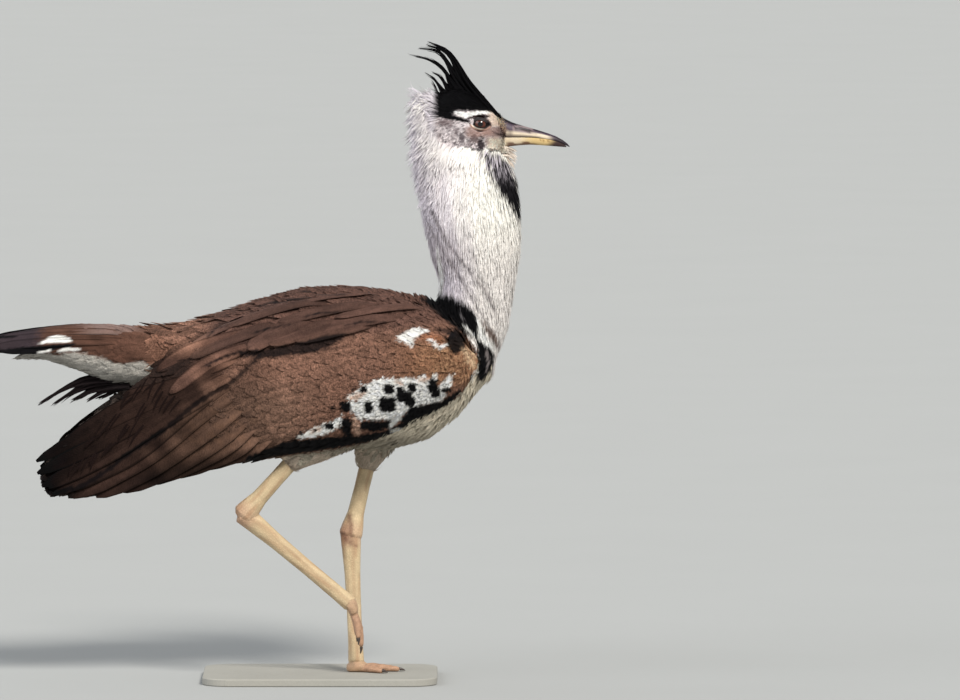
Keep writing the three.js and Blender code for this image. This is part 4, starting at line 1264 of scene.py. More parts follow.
# Thighs
thigh_coat = new_coat("coat_thighs", "plumage_grey", round_the_body)
grow(thigh_coat, scattered(region(lambda p, n, l, x, y: l == THIGHS), 0.0036 * DENSITY, 41), THIGHS, rng,
    length=0.020, width=0.0056, rows=5, rise=0.95, yaw=0.14)
for sign, joints in LEG_JOINTS.items():
    cuff = scattered(
        region(lambda p, n, l, x, y: (l == THIGHS) & (p[:, 1] * sign > 0)
            & (np.linalg.norm(p - (joints[0] + [0, 0, LIFT]), axis=1) < 0.036)),
        0.0030 * DENSITY, 45 + sign)
    grow(thigh_coat, cuff, THIGHS, rng, length=0.032, width=0.0042, rows=6, profile="pointed", rise=1.0,
        yaw=0.12, cling=0.45)


# Wings: the feathers grow longer and wider from the shoulder to the flight feathers
def wing_size(p):
    """Width of a covert in metres."""
    x, y = screen(p)
    size = np.interp(x, [200, 260, 320, 380, 430, 485], [0.028, 0.024, 0.018, 0.012, 0.010, 0.008])
    size = size * np.interp(y, [290, 330, 370, 420], [1.15, 1.15, 0.95, 0.85])
    patch = smoothstep(330, 350, x) * smoothstep(372, 382, y)
    return size * (1 - 0.4 * patch) * np.interp(x, [60, 200], [0.3, 1.0])


def fringe_of(found):
    """Scapulars have pale fringes, the coverts below them hardly any."""
    x, y = screen(found["place"])
    return 1.06 + 0.3 * (1 - smoothstep(336, 352, y)) * (1 - smoothstep(340, 400, x))


def covert_area(p, n, l, x, y):
    rear = np.interp(y, [300, 345, 380, 420, 460], [196, 196, 232, 246, 256])
    return (l == WING) & ((x > rear) | (n[:, 1] * np.sign(p[:, 1]) < 0.1))


def covert_gap(p):
    """The coverts' spacing. Fewer grow on the side that faces the body."""
    inner = SKIN.at(p)["normal"][:, 1] * np.sign(p[:, 1]) < -0.2
    return wing_size(p) * 0.45 * DENSITY * np.where(inner, 1.8, 1.0)


def scapular_area(n, x, y):
    line = np.interp(x, [205, 240, 270, 300, 330, 360, 400], [352, 349, 345, 339, 333, 326, 314])
    return (x > 205) & (x < 400) & (y < line) & (n[:, 2] > -0.5)


SHOULDER_PX = 350  # where the wing's coat ends and the shoulder's begins
for side, sign in SIDES:
    for part, low, high, rows, cols in (("wing_", 0, SHOULDER_PX, 8, 7),
            ("shoulder_", SHOULDER_PX, IMAGE_WIDTH, 6, 5)):
        coat = new_coat("coat_" + part + side, "plumage_brown", round_the_body)
        roots = scattered(
            region(lambda p, n, l, x, y: covert_area(p, n, l, x, y) & (p[:, 1] * sign > 0)
                & (x >= low) & (x < high)),
            covert_gap, 51 + sign + low)
        grow(coat, roots, WING, rng, length=lambda f: 2.5 * wing_size(f["place"]) + 0.004,
            width=lambda f: wing_size(f["place"]), rows=rows, cols=cols, rise=0.9, yaw=0.10, camber=0.20,
            shade=0.09, edge=fringe_of, shift=0.0004, root_shade=0.05)
    coat = new_coat("coat_scapulars_" + side, "plumage_brown", round_the_body)
    roots = scattered(
        region(lambda p, n, l, x, y: ((l == WING) | (l == TRUNK)) & scapular_area(n, x, y)
            & (p[:, 1] * sign > 0)),
        0.0150 * DENSITY, 71 + sign)
    grow(coat, roots, WING, rng, length=0.094, width=0.0165, rows=12, cols=9, rise=lambda f: np.interp(
        screen(f["place"])[0], [210, 280, 340, 400], [1.15, 1.4, 1.3, 0.95]), yaw=0.07, camber=0.3,
        shade=0.20, edge=1.22, shift=0.0005,
        root_shade=0.4)

# The longest scapulars, which hang over the wing: four pixels from root to tip, width, height, lightness
# at root and tip
SCAPULARS = [
    ([(268, 312), (238, 323), (208, 336), (184, 352)], 0.024, 0.0030, (0.9, 1.25)),
    ([(302, 292), (268, 301), (234, 312), (202, 325)], 0.022, 0.0040, (0.8, 1.0)),
    ([(348, 289), (312, 291), (276, 298), (246, 309)], 0.020, 0.0040, (0.8, 1.1)),
    ([(392, 293), (356, 295), (322, 299), (290, 306)], 0.019, 0.0034, (0.9, 1.0)),
    ([(432, 306), (400, 307), (366, 311), (336, 318)], 0.018, 0.0028, (1.0, 1.05)),
    ([(290, 320), (256, 331), (220, 344), (192, 358)], 0.024, 0.0034, (0.8, 1.3)),
    ([(334, 301), (300, 305), (262, 315), (228, 328)], 0.023, 0.0046, (0.8, 1.1)),
    ([(386, 304), (350, 307), (314, 314), (280, 323)], 0.021, 0.0044, (0.8, 1.0)),
    ([(404, 316), (372, 320), (342, 325), (312, 331)], 0.020, 0.0036, (0.9, 1.1)),
    ([(316, 318), (292, 326), (268, 337), (250, 350)], 0.032, 0.0050, (0.9, 1.4)),
    ([(350, 320), (320, 328), (294, 336), (270, 344)], 0.024, 0.0046, (0.8, 1.1)),
    ([(380, 322), (352, 328), (324, 334), (296, 341)], 0.021, 0.0040, (0.8, 1.0)),
]

# Flight feathers and tertials: four pixels from root to tip, width, height, and lightness at root and tip.
# The first lie on top.
FLIGHTS = [
    ([(264, 343), (233, 353), (204, 367), (171.5, 393)], 0.023, 0.0036, (1.0, 3.6)),
    ([(262, 328), (224, 340), (190, 352), (158, 371)], 0.023, 0.0022, (0.9, 1.9)),
    ([(262, 349), (214, 367), (170, 387), (124, 395)], 0.024, 0.0010, (0.8, 1.0)),
    ([(262, 351), (190, 379), (121, 407), (59, 447)], 0.021, 0.0006, (0.8, 1.0)),
    ([(262, 354), (186, 388), (112, 421), (37.5, 461)], 0.026, 0.0000, (0.8, 0.8)),
    ([(262, 358), (190, 396), (118, 434), (38.5, 473)], 0.029, -0.0004, (0.8, 0.5)),
    ([(264, 362), (196, 402), (124, 444), (43, 486)], 0.030, -0.0006, (0.8, 0.6)),
    ([(266, 360), (204, 391), (130, 444), (50, 487.5)], 0.024, 0.0000, (0.9, 0.9)),
    ([(267, 366), (206, 398), (138, 452), (54, 494)], 0.030, -0.0012, (0.7, 0.9)),
    ([(268, 371), (212, 405), (150, 453), (74, 497)], 0.036, -0.0018, (0.9, 1.4)),
    ([(270, 383), (216, 423), (160, 461), (97, 496)], 0.037, -0.0018, (0.95, 1.2)),
    ([(272, 395), (223, 435), (173, 465), (119, 490)], 0.037, -0.0018, (1.0, 1.35)),
    ([(274, 406), (230, 442), (186, 464), (142, 481)], 0.036, -0.0018, (1.0, 1.0)),
    ([(276, 417), (240, 446), (202, 462), (168, 473)], 0.034, -0.0018, (1.0, 1.0)),
    ([(280, 428), (252, 448), (222, 458), (196, 465)], 0.030, -0.0018, (1.0, 1.0)),
]
FLIGHT_EDGES = np.array([0.45, 0.4, 0.35, 0.3, 0.3, 0.3, 0.3, 0.3, 0.35, 0.6, 0.7, 0.75, 0.75, 0.8, 0.8])


def cast_in(points, towards):
    """Where rays through points from far out, along towards, first meet the shell. Gaps are filled in."""
    start = points - towards * 0.4
    out = np.full(points.shape[:-1], np.nan)
    for index in np.ndindex(out.shape):
        hit = SHELL_TREE.ray_cast(start[index], towards[index])
        if hit[0] is not None:
            out[index] = hit[3] - 0.4
    for row in out.reshape(-1, out.shape[-1]):
        bad = np.isnan(row)
        if bad.any() and not bad.all():
            row[bad] = np.interp(np.nonzero(bad)[0], np.nonzero(~bad)[0], row[~bad])
    for _ in range(6):
        out[..., 1:-1] = 0.25 * out[..., :-2] + 0.5 * out[..., 1:-1] + 0.25 * out[..., 2:]
    return points + towards * out[..., None]


def big_feathers(coat, centre, normal, widths, label, rng, roll, height, light, dark_edge=0.30, camber=0.12,
        cols=11):
    """Long vanes along centre lines, sunk under the coverts at their roots, with darker edges, partly their
    dark webs and partly painted shadow where they overlap.
    """
    rows = centre.shape[1]
    n = len(centre)
    v = np.linspace(0, 1, rows)[:, None]
    sunk = 0.009 * (1 - smoothstep(0.0, 0.28, v))
    centre = centre + normal * (np.asarray(height)[:, None, None] - sunk)
    grid, across, along = vane_grid(centre, normal, np.asarray(widths) / 2, profile_of("flight", rows),
        cols, camber, roll)
    rgb, bars = marks(grid, np.broadcast_to(normal[:, :, None], grid.shape), np.full(grid.shape[:3], label))
    u = np.abs(np.linspace(-1, 1, cols))
    # darker edges and tips: partly dark webs, partly painted shadow where the vanes overlap
    edge = np.maximum(smoothstep(0.72, 0.95, u)[None], smoothstep(0.93, 1.0, v))
    dark_edge = np.broadcast_to(dark_edge, n)[:, None, None]
    gain = (1 - (1 - dark_edge) * edge) * rng.normal(1, 0.06, (n, 1, 1))
    light = np.asarray(light)[:, None, None]
    gain = gain * (light[..., 0] + (light[..., 1] - light[..., 0]) * smoothstep(0.3, 0.9, v))
    under = np.broadcast_to(normal[:, :, None], grid.shape)
    coat.add(grid, with_alpha(np.clip(rgb * gain[..., None], 0.002, 0.95), bars * 0.35), across, along,
        tuft_patches(centre[:, rows // 2], coat.unwrap), under)


def laid_on_side(line, sign):
    """Lines of pixels laid on the shell's right (-1) or left (1) side, and the way they face."""
    flat = place(line[..., 0], line[..., 1], 0.085 * sign)
    centre = cast_in(flat, np.broadcast_to([0.0, -sign, 0.0], flat.shape))
    exact = place(line[..., 0], line[..., 1], centre[..., 1])
    centre = np.stack([exact[..., 0], centre[..., 1], exact[..., 2]], axis=-1)
    return centre, np.broadcast_to(unit(np.array([0.0, sign, 0.12])), centre.shape)


for side, sign in SIDES:
    coat = new_coat("coat_flight_" + side, "plumage_dark", round_the_body)
    paths, widths, heights, lights = ([flight[k] for flight in FLIGHTS[::-1]] for k in range(4))
    centre, normal = laid_on_side(spline(np.array(paths), 72), sign)
    big_feathers(coat, centre, normal, widths, WING, rng, np.full(len(FLIGHTS), -0.10 * sign), heights,
        lights, dark_edge=FLIGHT_EDGES[::-1], cols=17)
    scapular_coat = next(c for c in coats if c.name == "coat_scapulars_" + side)
    paths, widths, heights, lights = ([feather[k] for feather in SCAPULARS[::-1]] for k in range(4))
    centre, _ = laid_on_side(spline(np.array(paths), 30), sign)
    facing = SKIN.at(centre.reshape(-1, 3))["normal"].reshape(centre.shape)
    facing = unit(facing.mean(1, keepdims=True) + 0 * centre)
    big_feathers(scapular_coat, centre, facing, widths, WING, rng, np.full(len(SCAPULARS), -0.10 * sign),
        heights, lights, dark_edge=0.8, cols=13, camber=0.3)

    # Torn barbs that hang across the upper feathers
    ends = np.repeat(np.array(SLITS, float), 2, axis=0)
    ends += np.tile([[0, 0, 0, 0], [4, 2, 2, 1]], (len(SLITS), 1)) + rng.normal(0, 1.8, ends.shape)
    line = spline(np.stack([ends[:, :2], (ends[:, :2] + ends[:, 2:]) / 2 + [-1.4, 0.6], ends[:, 2:]],
        axis=1), 9)
    centre, normal = laid_on_side(line, sign)
    wide = rng.uniform(0.0010, 0.0024, len(ends))
    grid, across, along = vane_grid(centre + normal * 0.0045, normal, wide, profile_of("hair", 9), 3, 0.2,
        np.zeros(len(ends)))
    rgb = np.broadcast_to(lin(24, 15, 13), grid.shape)
    coat.add(grid, with_alpha(rgb, 0.0), across, along, tuft_patches(centre[:, 4], coat.unwrap),
        np.broadcast_to(normal[:, :, None], grid.shape))

# Tail: the long feathers closed like a roof, the middle ones on top, with coverts above and below
tail_coat = new_coat("coat_tail", "plumage_brown", round_the_body)
FEATHERS_A_SIDE = 8
turn = np.radians(np.linspace(4, 86, FEATHERS_A_SIDE))
turn = np.stack([-turn, turn], axis=1).ravel()[::-1]
TAIL_ROWS = 48
along_x = np.stack([np.linspace(-0.33, -0.625 + 0.030 * abs(a), TAIL_ROWS) for a in turn])
axis_z = place(SOLE_PX[0] + along_x / PIXEL,
    np.interp(along_x, [-0.63, -0.57, -0.46, -0.33], [349, 348, 344, 343]))[..., 2]
flat = np.stack([along_x, 0 * along_x, axis_z], axis=-1)
out_to = np.stack([np.zeros(len(turn)), np.sin(turn), np.cos(turn)], axis=1)[:, None] + 0 * flat
centre = cast_in(flat, -out_to)
facing = SKIN.at(centre.reshape(-1, 3))["normal"].reshape(centre.shape)
facing = unit(0.8 * facing.mean(1, keepdims=True) * [0, 1, 1] + 0.2 * out_to)
widths = np.interp(np.abs(turn), [0.0, 1.5], [0.040, 0.026])
big_feathers(tail_coat, centre, facing, widths, TAIL, rng, np.zeros(len(turn)), np.full(len(turn), -0.0015),
    np.ones((len(turn), 2)), dark_edge=0.55, cols=15)
grow(tail_coat, scattered(region(lambda p, n, l, x, y: (l == TAIL) & (p[:, 0] > -0.47) & (n[:, 2] > -0.5)),
    0.0085 * DENSITY, 61),
    TAIL, rng, length=0.056, width=0.018, rows=8, cols=7, rise=0.9, yaw=0.07, edge=1.15)
grow(tail_coat, scattered(region(lambda p, n, l, x, y: (l == TAIL) & (p[:, 0] > -0.50) & (n[:, 2] <= 0.0)),
    0.0062 * DENSITY, 62),
    TAIL, rng, length=0.046, width=0.012, rows=6, cols=5, rise=1.1, yaw=0.10, edge=1.05)

# The dark plume below the tail
PLUME_GUIDES = [
    ([(128, 378), (104, 376), (84, 378), (64, 388), (48, 398), (37.5, 405)], 60),
    ([(130, 381), (108, 381), (90, 385), (74, 392), (62, 399), (53, 405.5)], 46),
    ([(130, 384), (113, 385), (98, 388), (86, 393), (78, 398), (71, 402)], 34),
    ([(130, 386), (118, 387), (107, 390), (99, 394), (92, 398), (87, 401)], 26),
    ([(132, 388), (124, 389), (116, 391), (109, 394), (103, 397), (98, 400)], 22),
]
plume_coat = new_coat("coat_plume", "plumage_black", round_the_body)
plumes(plume_coat, PLUME_GUIDES, rng, 0.6, lin(34, 27, 28), 0.0036, rows=10, end=(0.6, 1.0), y_root=0.030,
    y_tip=0.014)

for coat in coats:
    coat.make()


# Skin piece: the body's surface and the bare legs
LEG_VOXEL = 0.0016
STRAW = lin(198, 176, 140)
ANKLE = lin(194, 162, 132)
ANKLE_DARK = lin(140, 94, 74)
TOES = lin(168, 132, 106)


def leg_surface(side, sign):
    """The bare leg and foot: surface, colours, and places along and round the bones in metres."""
    names = [f"{part}_{side}" for part in ("shank", "tarsus", "foot")] + [f"toe_{side}_{toe}"
        for toe in ("inner", "middle", "outer")]
    verts, tris, owner = joined(names)
    tree = BVHTree.FromPolygons(verts.tolist(), tris.tolist())
    v, t = remeshed(verts, tris, LEG_VOXEL)
    edges = edges_of(t)
    v = taubin(v, edges, 10)
    normal = normals_of(v, t)
    part = owner[[tree.find_nearest(p)[2] for p in v.tolist()]]
    joints = LEG_JOINTS[sign] + [0, 0, LIFT]
    bone = np.minimum(part, 1)
    a, b = joints[bone], joints[bone + 1]
    direction = unit(b - a)
    along = ((v - a) * direction).sum(1)
    side_way = unit(np.cross(direction, [0.0, 1.0, 0.0]))
    off = v - a - direction * along[:, None]
    angle = np.arctan2(off[:, 1] * sign, -(off * side_way).sum(1))  # 0 in front
    radius = np.linalg.norm(off, axis=1)
    foot = part >= 2
    coords = np.stack([angle * np.minimum(radius, 0.012), along * 0.72, 0.03 * bone], axis=1)
    coords = np.where(foot[:, None], v * 0.9, coords)
    ankle_distance = np.linalg.norm(v - joints[1], axis=1)
    near = 1 - smoothstep(0.012, 0.032, ankle_distance)
    front = smoothstep(-0.2, 0.6, np.cos(angle))
    colour = np.broadcast_to(STRAW, v.shape) * (1 + 0.07 * wobble(v, 0.02, 2.0))[:, None]
    colour = mix(colour, ANKLE, near)
    colour = mix(colour, ANKLE_DARK, near * front * (0.75 if sign > 0 else 0.35))
    groove = np.exp(-((np.abs(angle) - 1.75) / 0.22) ** 2) * (part == 1)
    streak = smoothstep(0.1, 0.8,
        wobble(np.stack([angle * 0.011, along * 0.11, 0 * along], axis=1), 0.008, 3.0 + sign))
    colour = mix(colour, lin(158, 116, 84), 0.5 * streak)
    colour = mix(colour, lin(150, 116, 86), 0.55 * groove)
    colour = mix(colour, TOES * (1 + 0.25 * wobble(v, 0.009, 4.0))[:, None],
        smoothstep(1.2, 2.4, part.astype(float)))
    sx, sy = screen(v)
    if sign > 0:
        for path, half in (([(349, 518), (350.5, 527)], 2.2), ([(342, 536), (347, 542), (356, 548)], 1.3),
                ([(351, 530), (352, 538)], 1.4)):
            colour = stroke(colour, lin(96, 58, 44), sx, sy, path, half, 1.0, 1.5 * wobble(v, 0.006, 1.0),
                0.75)
    fade = averaged(np.concatenate([colour, (0.0009 * groove)[:, None]], axis=1), edges, len(v), 5)
    v = v - normal * fade[:, 3:] * (1 - near[:, None])
    return v, t, fade[:, :3], coords


skin_rgb, _ = marks(skin_verts, skin_normals, skin_label)
# painted shade: the skin under the coat is darker, less so under the neck and head
coat_shade = np.where((skin_label == NECK) | (skin_label == HEAD), 0.92, 0.62)[:, None]
parts = [(skin_verts, skin_tris, skin_rgb * coat_shade, np.zeros_like(skin_verts))]
parts += [leg_surface(side, sign) for side, sign in (("left", 1), ("right", -1))]
counts = np.cumsum([0] + [len(part[0]) for part in parts])
skin = build("skin", np.concatenate([part[0] for part in parts]),
    [np.concatenate([part[1] + start for part, start in zip(parts, counts)])], SKIN_MATERIAL)
skin.data.materials.append(LEG_MATERIAL)
slots = np.zeros(len(skin.data.polygons), np.int32)
slots[len(skin_tris):] = 1
skin.data.polygons.foreach_set("material_index", slots)
set_tint(skin, with_alpha(np.concatenate([part[2] for part in parts]), 1.0))
attribute = skin.data.attributes.new("vane", "FLOAT_VECTOR", "POINT")
attribute.data.foreach_set("vector", np.concatenate([part[3] for part in parts]).astype(np.float32).ravel())
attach(skin, "root")
LEG_NODES = [name for name in NODES if name.startswith(("shank", "tarsus", "foot", "toe"))]
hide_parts(*[name for name, _ in FLESH], *LEG_NODES)
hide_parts("vent_plume")

# Claws
claw_names = [name for name in NODES if name.startswith("claw")]
claw_parts = []
for name in claw_names:
    v, t = remeshed(*joined([name])[:2], 0.0007)
    claw_parts.append((taubin(v, edges_of(t), 6), t))
counts = np.cumsum([0] + [len(v) for v, _ in claw_parts])
claws = build("claws", np.concatenate([v for v, _ in claw_parts]),
    [np.concatenate([t + start for (_, t), start in zip(claw_parts, counts)])], CLAW_MATERIAL)
set_tint(claws, with_alpha(np.broadcast_to(lin(62, 52, 46), (len(claws.data.vertices), 3)), 1.0))
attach(claws, "root")
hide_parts(*claw_names)

# Bill: both halves as lofts. Stations in millimetres: x, ridge height, edge height and half width
UPPER = np.array([(212, 896, 860, 16), (224, 893.5, 859.6, 15.5), (236, 888, 859.2, 14.6),
    (250, 881, 858.9, 13.2), (268, 875.2, 858.8, 11.2), (288, 869.6, 857.6, 9.2), (306, 864, 855.4, 7.4),
    (320, 858.8, 852.0, 5.6), (331, 852.6, 847.6, 3.7), (338, 847.2, 843.4, 2.0),
    (341.6, 842.8, 841.6, 0.6)])
LOWER = np.array([(212, 838, 859.6, 14.4), (228, 840.6, 859.2, 13.8), (246, 842.6, 858.6, 12),
    (262, 844.4, 858.4, 10.4), (279, 845.4, 857.6, 8.8), (294, 844.6, 856.4, 7.4), (310, 843.4, 854.0, 5.8),
    (324, 842.2, 849.6, 4.0), (333, 841.6, 845.6, 2.2), (336.5, 841.4, 843.0, 0.7)])


def bill_half(name, stations, node, upward):
    """A closed loft: the ridge side is round, the edge side nearly flat."""
    rows, ring = 60, 28
    x = np.interp(np.linspace(0, 1, rows) ** 0.85, np.linspace(0, 1, len(stations)), stations[:, 0])
    ridge, edge, half = (np.interp(x, stations[:, 0], stations[:, k]) for k in (1, 2, 3))
    for _ in range(3):
        for value in (ridge, edge, half):
            value[1:-1] = 0.25 * value[:-2] + 0.5 * value[1:-1] + 0.25 * value[2:]
    a = np.linspace(0, 2 * math.pi, ring, endpoint=False)
    c, s = np.cos(a), np.sin(a)
    round_part = np.where(s > 0, np.abs(s) ** 0.9, -0.10 * np.abs(s))
    y = half[:, None] * np.sign(c) * np.abs(c) ** 0.8
    z = edge[:, None] + (ridge - edge)[:, None] * round_part
    x = np.broadcast_to(x[:, None], y.shape).copy()
    p = np.stack([x, y, z], axis=-1) / 1000 + [0, 0, LIFT]
    sx, sy = screen(p)
    share = np.clip((p[..., 2] * 1000 - LIFT * 1000 - edge[:, None]) / (ridge - edge)[:, None], 0, 1)
    if upward:
        slit, _ = polyline_distance(sx, sy, [(516, 129.2), (523, 129.6), (530, 131.4)])
        nostril = (1 - smoothstep(0.8, 2.6, slit)) * (s > 0)
        p[..., 1] -= np.sign(p[..., 1]) * 0.0024 * nostril
        rim = smoothstep(1.4, 2.2, slit) * (1 - smoothstep(2.8, 4.2, slit))
        limit = np.interp(sx, [503, 512, 525, 545], [0.26, 0.34, 0.42, 0.58])
        dark = smoothstep(-0.07, 0.07, share - limit + 0.05 * wobble(p, 0.01, 1.0))
        dark = np.maximum(dark, smoothstep(545, 556, sx))
        colour = mix(np.broadcast_to(lin(206, 190, 166), p.shape), lin(62, 48, 62), dark)
        colour = mix(colour, lin(18, 13, 16),
            smoothstep(0.80, 0.93, share) * (1 - smoothstep(535, 560, sx)))
        colour = mix(colour, lin(34, 24, 30), smoothstep(548, 560, sx))
        # painted highlight: a pale gloss streak along the upper bill
        painted_highlight, _ = polyline_distance(sx, sy, [(517, 126), (523, 127.3), (531, 129.6)])
        colour = mix(colour, lin(150, 140, 150), 0.35 * (1 - smoothstep(0.3, 1.2, painted_highlight)))
        # painted highlight on the rim round the nostril
        colour = mix(colour, lin(150, 130, 128), 0.55 * rim)
        # painted shade in the nostril slit
        colour = mix(colour, lin(40, 30, 32), nostril)
        base = 1 - smoothstep(500, 515, sx)
        colour = mix(colour, lin(120, 104, 100), 0.5 * base * (1 - dark))
        colour = mix(colour, lin(54, 38, 36), 0.9 * (1 - smoothstep(0.05, 0.15, share))
            * (1 - smoothstep(535, 548, sx)))
    else:
        colour = mix(np.broadcast_to(lin(206, 178, 124), p.shape), lin(214, 196, 168),
            1 - smoothstep(515, 535, sx))
        spots = smoothstep(-0.3, 0.5, wobble(p * [1.0, 0.3, 1.0], 0.022, 3.0))
        low = smoothstep(0.74, 0.86, share + 0.3 * spots) * smoothstep(504, 509,
            sx) * (1 - smoothstep(532, 540, sx))
        colour = mix(colour, lin(92, 52, 40), 0.85 * low)
        for spot in ((543.5, 141.2), (548.0, 141.4), (540.5, 140.2)):
            colour = mix(colour, lin(132, 96, 52),
                0.8 * (1 - smoothstep(0.5, 1.6, np.hypot(sx - spot[0], sy - spot[1]))))
        colour = mix(colour, lin(60, 44, 42), smoothstep(548, 558, sx + 5 * share))
    index = np.arange(rows * ring).reshape(rows, ring)
    first, second = index[:-1], index[1:]
    quads = np.stack([first, np.roll(first, -1, 1), np.roll(second, -1, 1), second], axis=-1).reshape(-1, 4)
    quads = quads if upward else quads[:, ::-1]
    caps = [index[0][::-1][None], index[-1][None]] if upward else [index[0][None], index[-1][::-1][None]]
    obj = build(name, p.reshape(-1, 3), [quads] + caps, BILL_MATERIAL)
    set_tint(obj, with_alpha(colour.reshape(-1, 3), 1.0))
    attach(obj, "root")
    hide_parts(node)


bill_half("bill_upper_horn", UPPER, "bill_upper", True)
bill_half("bill_lower_horn", LOWER, "bill_lower", False)

# Eyes: a glossy ball with pupil and iris, and the bare rim round it
EYE_Y = 0.0245
EYE_RADIUS = 0.0118
for side, sign in SIDES:
    rings, around = 30, 48
    polar = np.linspace(0, 1, rings) ** 1.1 * math.radians(125)
    a = np.linspace(0, 2 * math.pi, around, endpoint=False)
    bulge = 1 + 0.05 * (1 - smoothstep(0.0, 0.75, polar))
    out = EYE_RADIUS * (bulge * np.sin(polar))[:, None] + np.zeros(around)
    deep = sign * (EYE_Y + EYE_RADIUS * (bulge * np.cos(polar))[:, None] + 0 * out)
    p = np.stack([EYE[0] + out * np.cos(a), deep, EYE[2] + out * np.sin(a)], axis=-1)
    r = EYE_RADIUS * np.sin(polar)[:, None] + 0 * out
    rays = 0.5 + 0.5 * np.sin(a * 23 + 1.5 * np.sin(a * 7))
    colour = mix(np.broadcast_to(lin(70, 31, 20), p.shape), lin(112, 54, 30),
        0.6 * rays[None] * smoothstep(0.0042, 0.0066, r))
    colour = mix(colour, lin(8, 6, 7), 1 - smoothstep(0.0036, 0.0041, r))
    colour = mix(colour, lin(22, 12, 10), smoothstep(0.0074, 0.0086, r))
    colour = np.where((polar[:, None] > 1.35)[..., None], lin(22, 12, 10), colour)
    eye = build("eyeball_" + side, p.reshape(-1, 3), [ring_quads(rings, around, sign > 0)], EYE_MATERIAL)
    set_tint(eye, with_alpha(colour.reshape(-1, 3), 1.0))
    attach(eye, "root")
    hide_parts("eye_" + side)

    rows, around = 9, 72
    a = np.linspace(0, 2 * math.pi, around, endpoint=False)[None]
    t = np.linspace(0, 1, rows)[:, None]
    sharp = np.abs(np.cos(a)) ** 4
    inner = np.stack([
        (0.0098 + 0.0022 * sharp) * np.cos(a), 0.0056 * np.sin(a) * (1 - 0.15 * sharp) + 0.0004], axis=-1)
    outer = np.stack([(LID_HALF[0] + 0.001) * np.cos(a), (LID_HALF[1] + 0.0008) * np.sin(a)], axis=-1)
    flat = inner + (outer - inner) * t[..., None]
    flat[..., 1] -= 0.10 * flat[..., 0]
    reach = np.linalg.norm(flat, axis=-1)
    ball = EYE_Y + np.sqrt(np.maximum((EYE_RADIUS * 1.04) ** 2 - reach ** 2, 0.0)) + 0.0003
    seat = np.stack([EYE[0] + flat[..., 0], np.full(reach.shape, 0.06 * sign), EYE[2] + flat[..., 1]],
        axis=-1)
    face_y = np.abs(SKIN.at(seat.reshape(-1, 3))["place"][:, 1]).reshape(reach.shape) + 0.0012
    depth_out = ball * (1 - smoothstep(0.0, 0.8, t)) + face_y * smoothstep(0.0, 0.8,
        t) + 0.0013 * np.sin(np.pi * np.minimum(t * 1.6, 1))
    depth_out = np.maximum(depth_out, np.where(reach < EYE_RADIUS, ball + 0.0002, 0))
    p = np.stack([seat[..., 0], sign * depth_out, seat[..., 2]], axis=-1)
    low = smoothstep(0.05, 0.35, -np.sin(a)) + 0 * t
    crescent = (low * smoothstep(0.28, 0.42, t) * (1 - smoothstep(0.55, 0.7, t))
        * (1 - smoothstep(0.0, 0.6, np.cos(a))))
    # painted shadow of the brow: the lid is dark except low down
    colour = mix(np.broadcast_to(lin(30, 22, 22), p.shape), lin(150, 116, 102),
        low * smoothstep(0.4, 0.6, t))
    colour = mix(colour, lin(228, 212, 192), crescent)
    colour = mix(colour, lin(120, 96, 88), (1 - low) * smoothstep(0.6, 1.0, t)
        * smoothstep(0.2, 0.9, np.cos(a) + 0 * t))
    lid = build("lid_" + side, p.reshape(-1, 3), [ring_quads(rows, around, sign > 0)], LID_MATERIAL)
    set_tint(lid, with_alpha(colour.reshape(-1, 3), 1.0))
    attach(lid, "root")

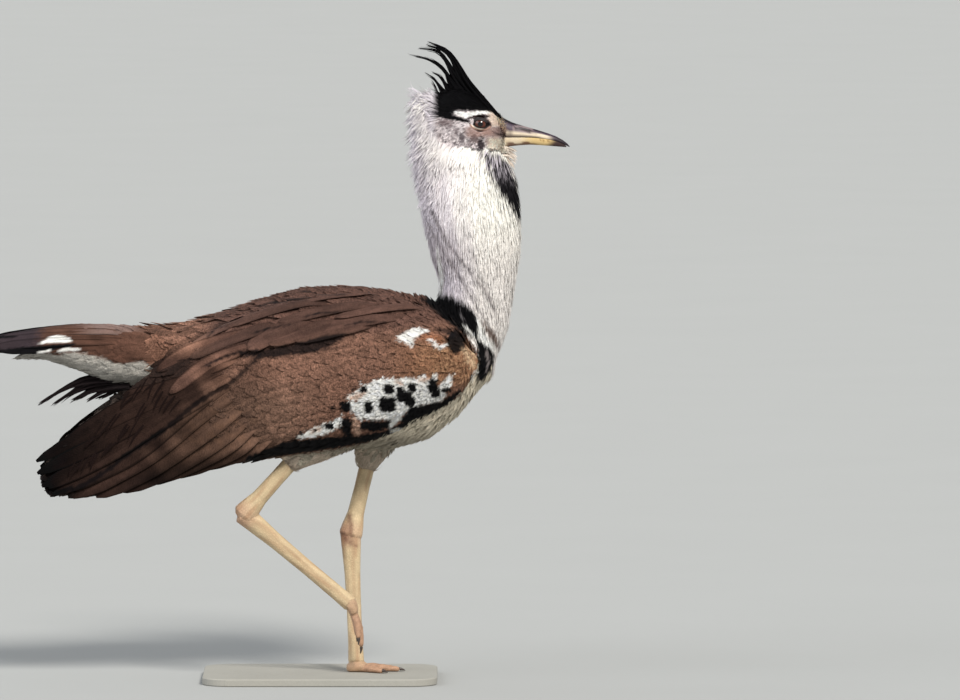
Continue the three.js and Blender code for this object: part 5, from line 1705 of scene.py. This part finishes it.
# Stand
stand = Shader("stand_stone", 0.7, specular=0.25)
stand_place = stand.node("ShaderNodeTexCoord").outputs["Object"]
fleck = stand.noise(stand_place, 420.0, 4.0, 0.7)
cloud = stand.noise(stand_place, 9.0, 3.0)
tone = stand.math("MULTIPLY_ADD", fleck, 0.34, 0.72)
tone = stand.math("MULTIPLY_ADD", cloud, 0.20, tone)
stand_colour = stand.node("ShaderNodeCombineColor", {0: 0.31, 1: 0.30, 2: 0.265}).outputs[0]
NODES["stand_base"].material_slots[0].material = stand.finish(stand.multiply(stand_colour, tone), fleck,
    0.0002)

# Camera, light and floor
camera = bpy.data.objects.new("Camera", bpy.data.cameras.new("Camera"))
bpy.context.scene.collection.objects.link(camera)
DISTANCE = 18.0
target = place(*FRAME_CENTRE_PX)
camera.location = target + DISTANCE * np.array([0, -COS_TILT, SIN_TILT])
camera.rotation_euler = (math.pi / 2 - TILT, 0, 0)
camera.data.sensor_width = 36.0
camera.data.lens = camera.data.sensor_width * DISTANCE / (IMAGE_WIDTH * PIXEL)
camera.data.clip_end = 500.0
bpy.context.scene.camera = camera


def sun(name, towards, strength, colour, spread):
    light = bpy.data.objects.new(name, bpy.data.lights.new(name, "SUN"))
    light.data.energy = strength
    light.data.color = colour
    light.data.angle = math.radians(spread)
    light.rotation_euler = Vector(towards).to_track_quat("Z", "Y").to_euler()
    bpy.context.scene.collection.objects.link(light)


sun("key", (0.40, -0.80, 0.80), 3.9, (1.0, 0.97, 0.92), 16)
sun("fill", (-0.8, 0.4, 0.6), 0.7, (0.88, 0.94, 1.0), 50)
sun("rear", (-0.9, -0.45, 0.5), 1.2, (0.92, 0.95, 1.0), 40)
world = bpy.data.worlds.new("World")
world.use_nodes = True
world.node_tree.nodes["Background"].inputs[0].default_value = (0.86, 0.89, 0.93, 1)
world.node_tree.nodes["Background"].inputs[1].default_value = 0.55
bpy.context.scene.world = world
bpy.context.scene.view_settings.view_transform = "Standard"

FLOOR_HALF = 90.0
floor_material = Shader("floor", 0.9, 0.2)
floor_noise = floor_material.noise(floor_material.node("ShaderNodeTexCoord").outputs["Object"], 3.0, 3.0)
floor_tone = floor_material.node("ShaderNodeCombineColor", {0: 0.36, 1: 0.365, 2: 0.355}).outputs[0]
floor_value = floor_material.math("MULTIPLY_ADD", floor_noise, 0.04, 0.98)
floor = build(
    "floor", np.array([[-1, -1, 0], [1, -1, 0], [1, 1, 0], [-1, 1, 0]]) * FLOOR_HALF,
    [np.array([[0, 1, 2, 3]])],
    floor_material.finish(floor_material.multiply(floor_tone, floor_value)))
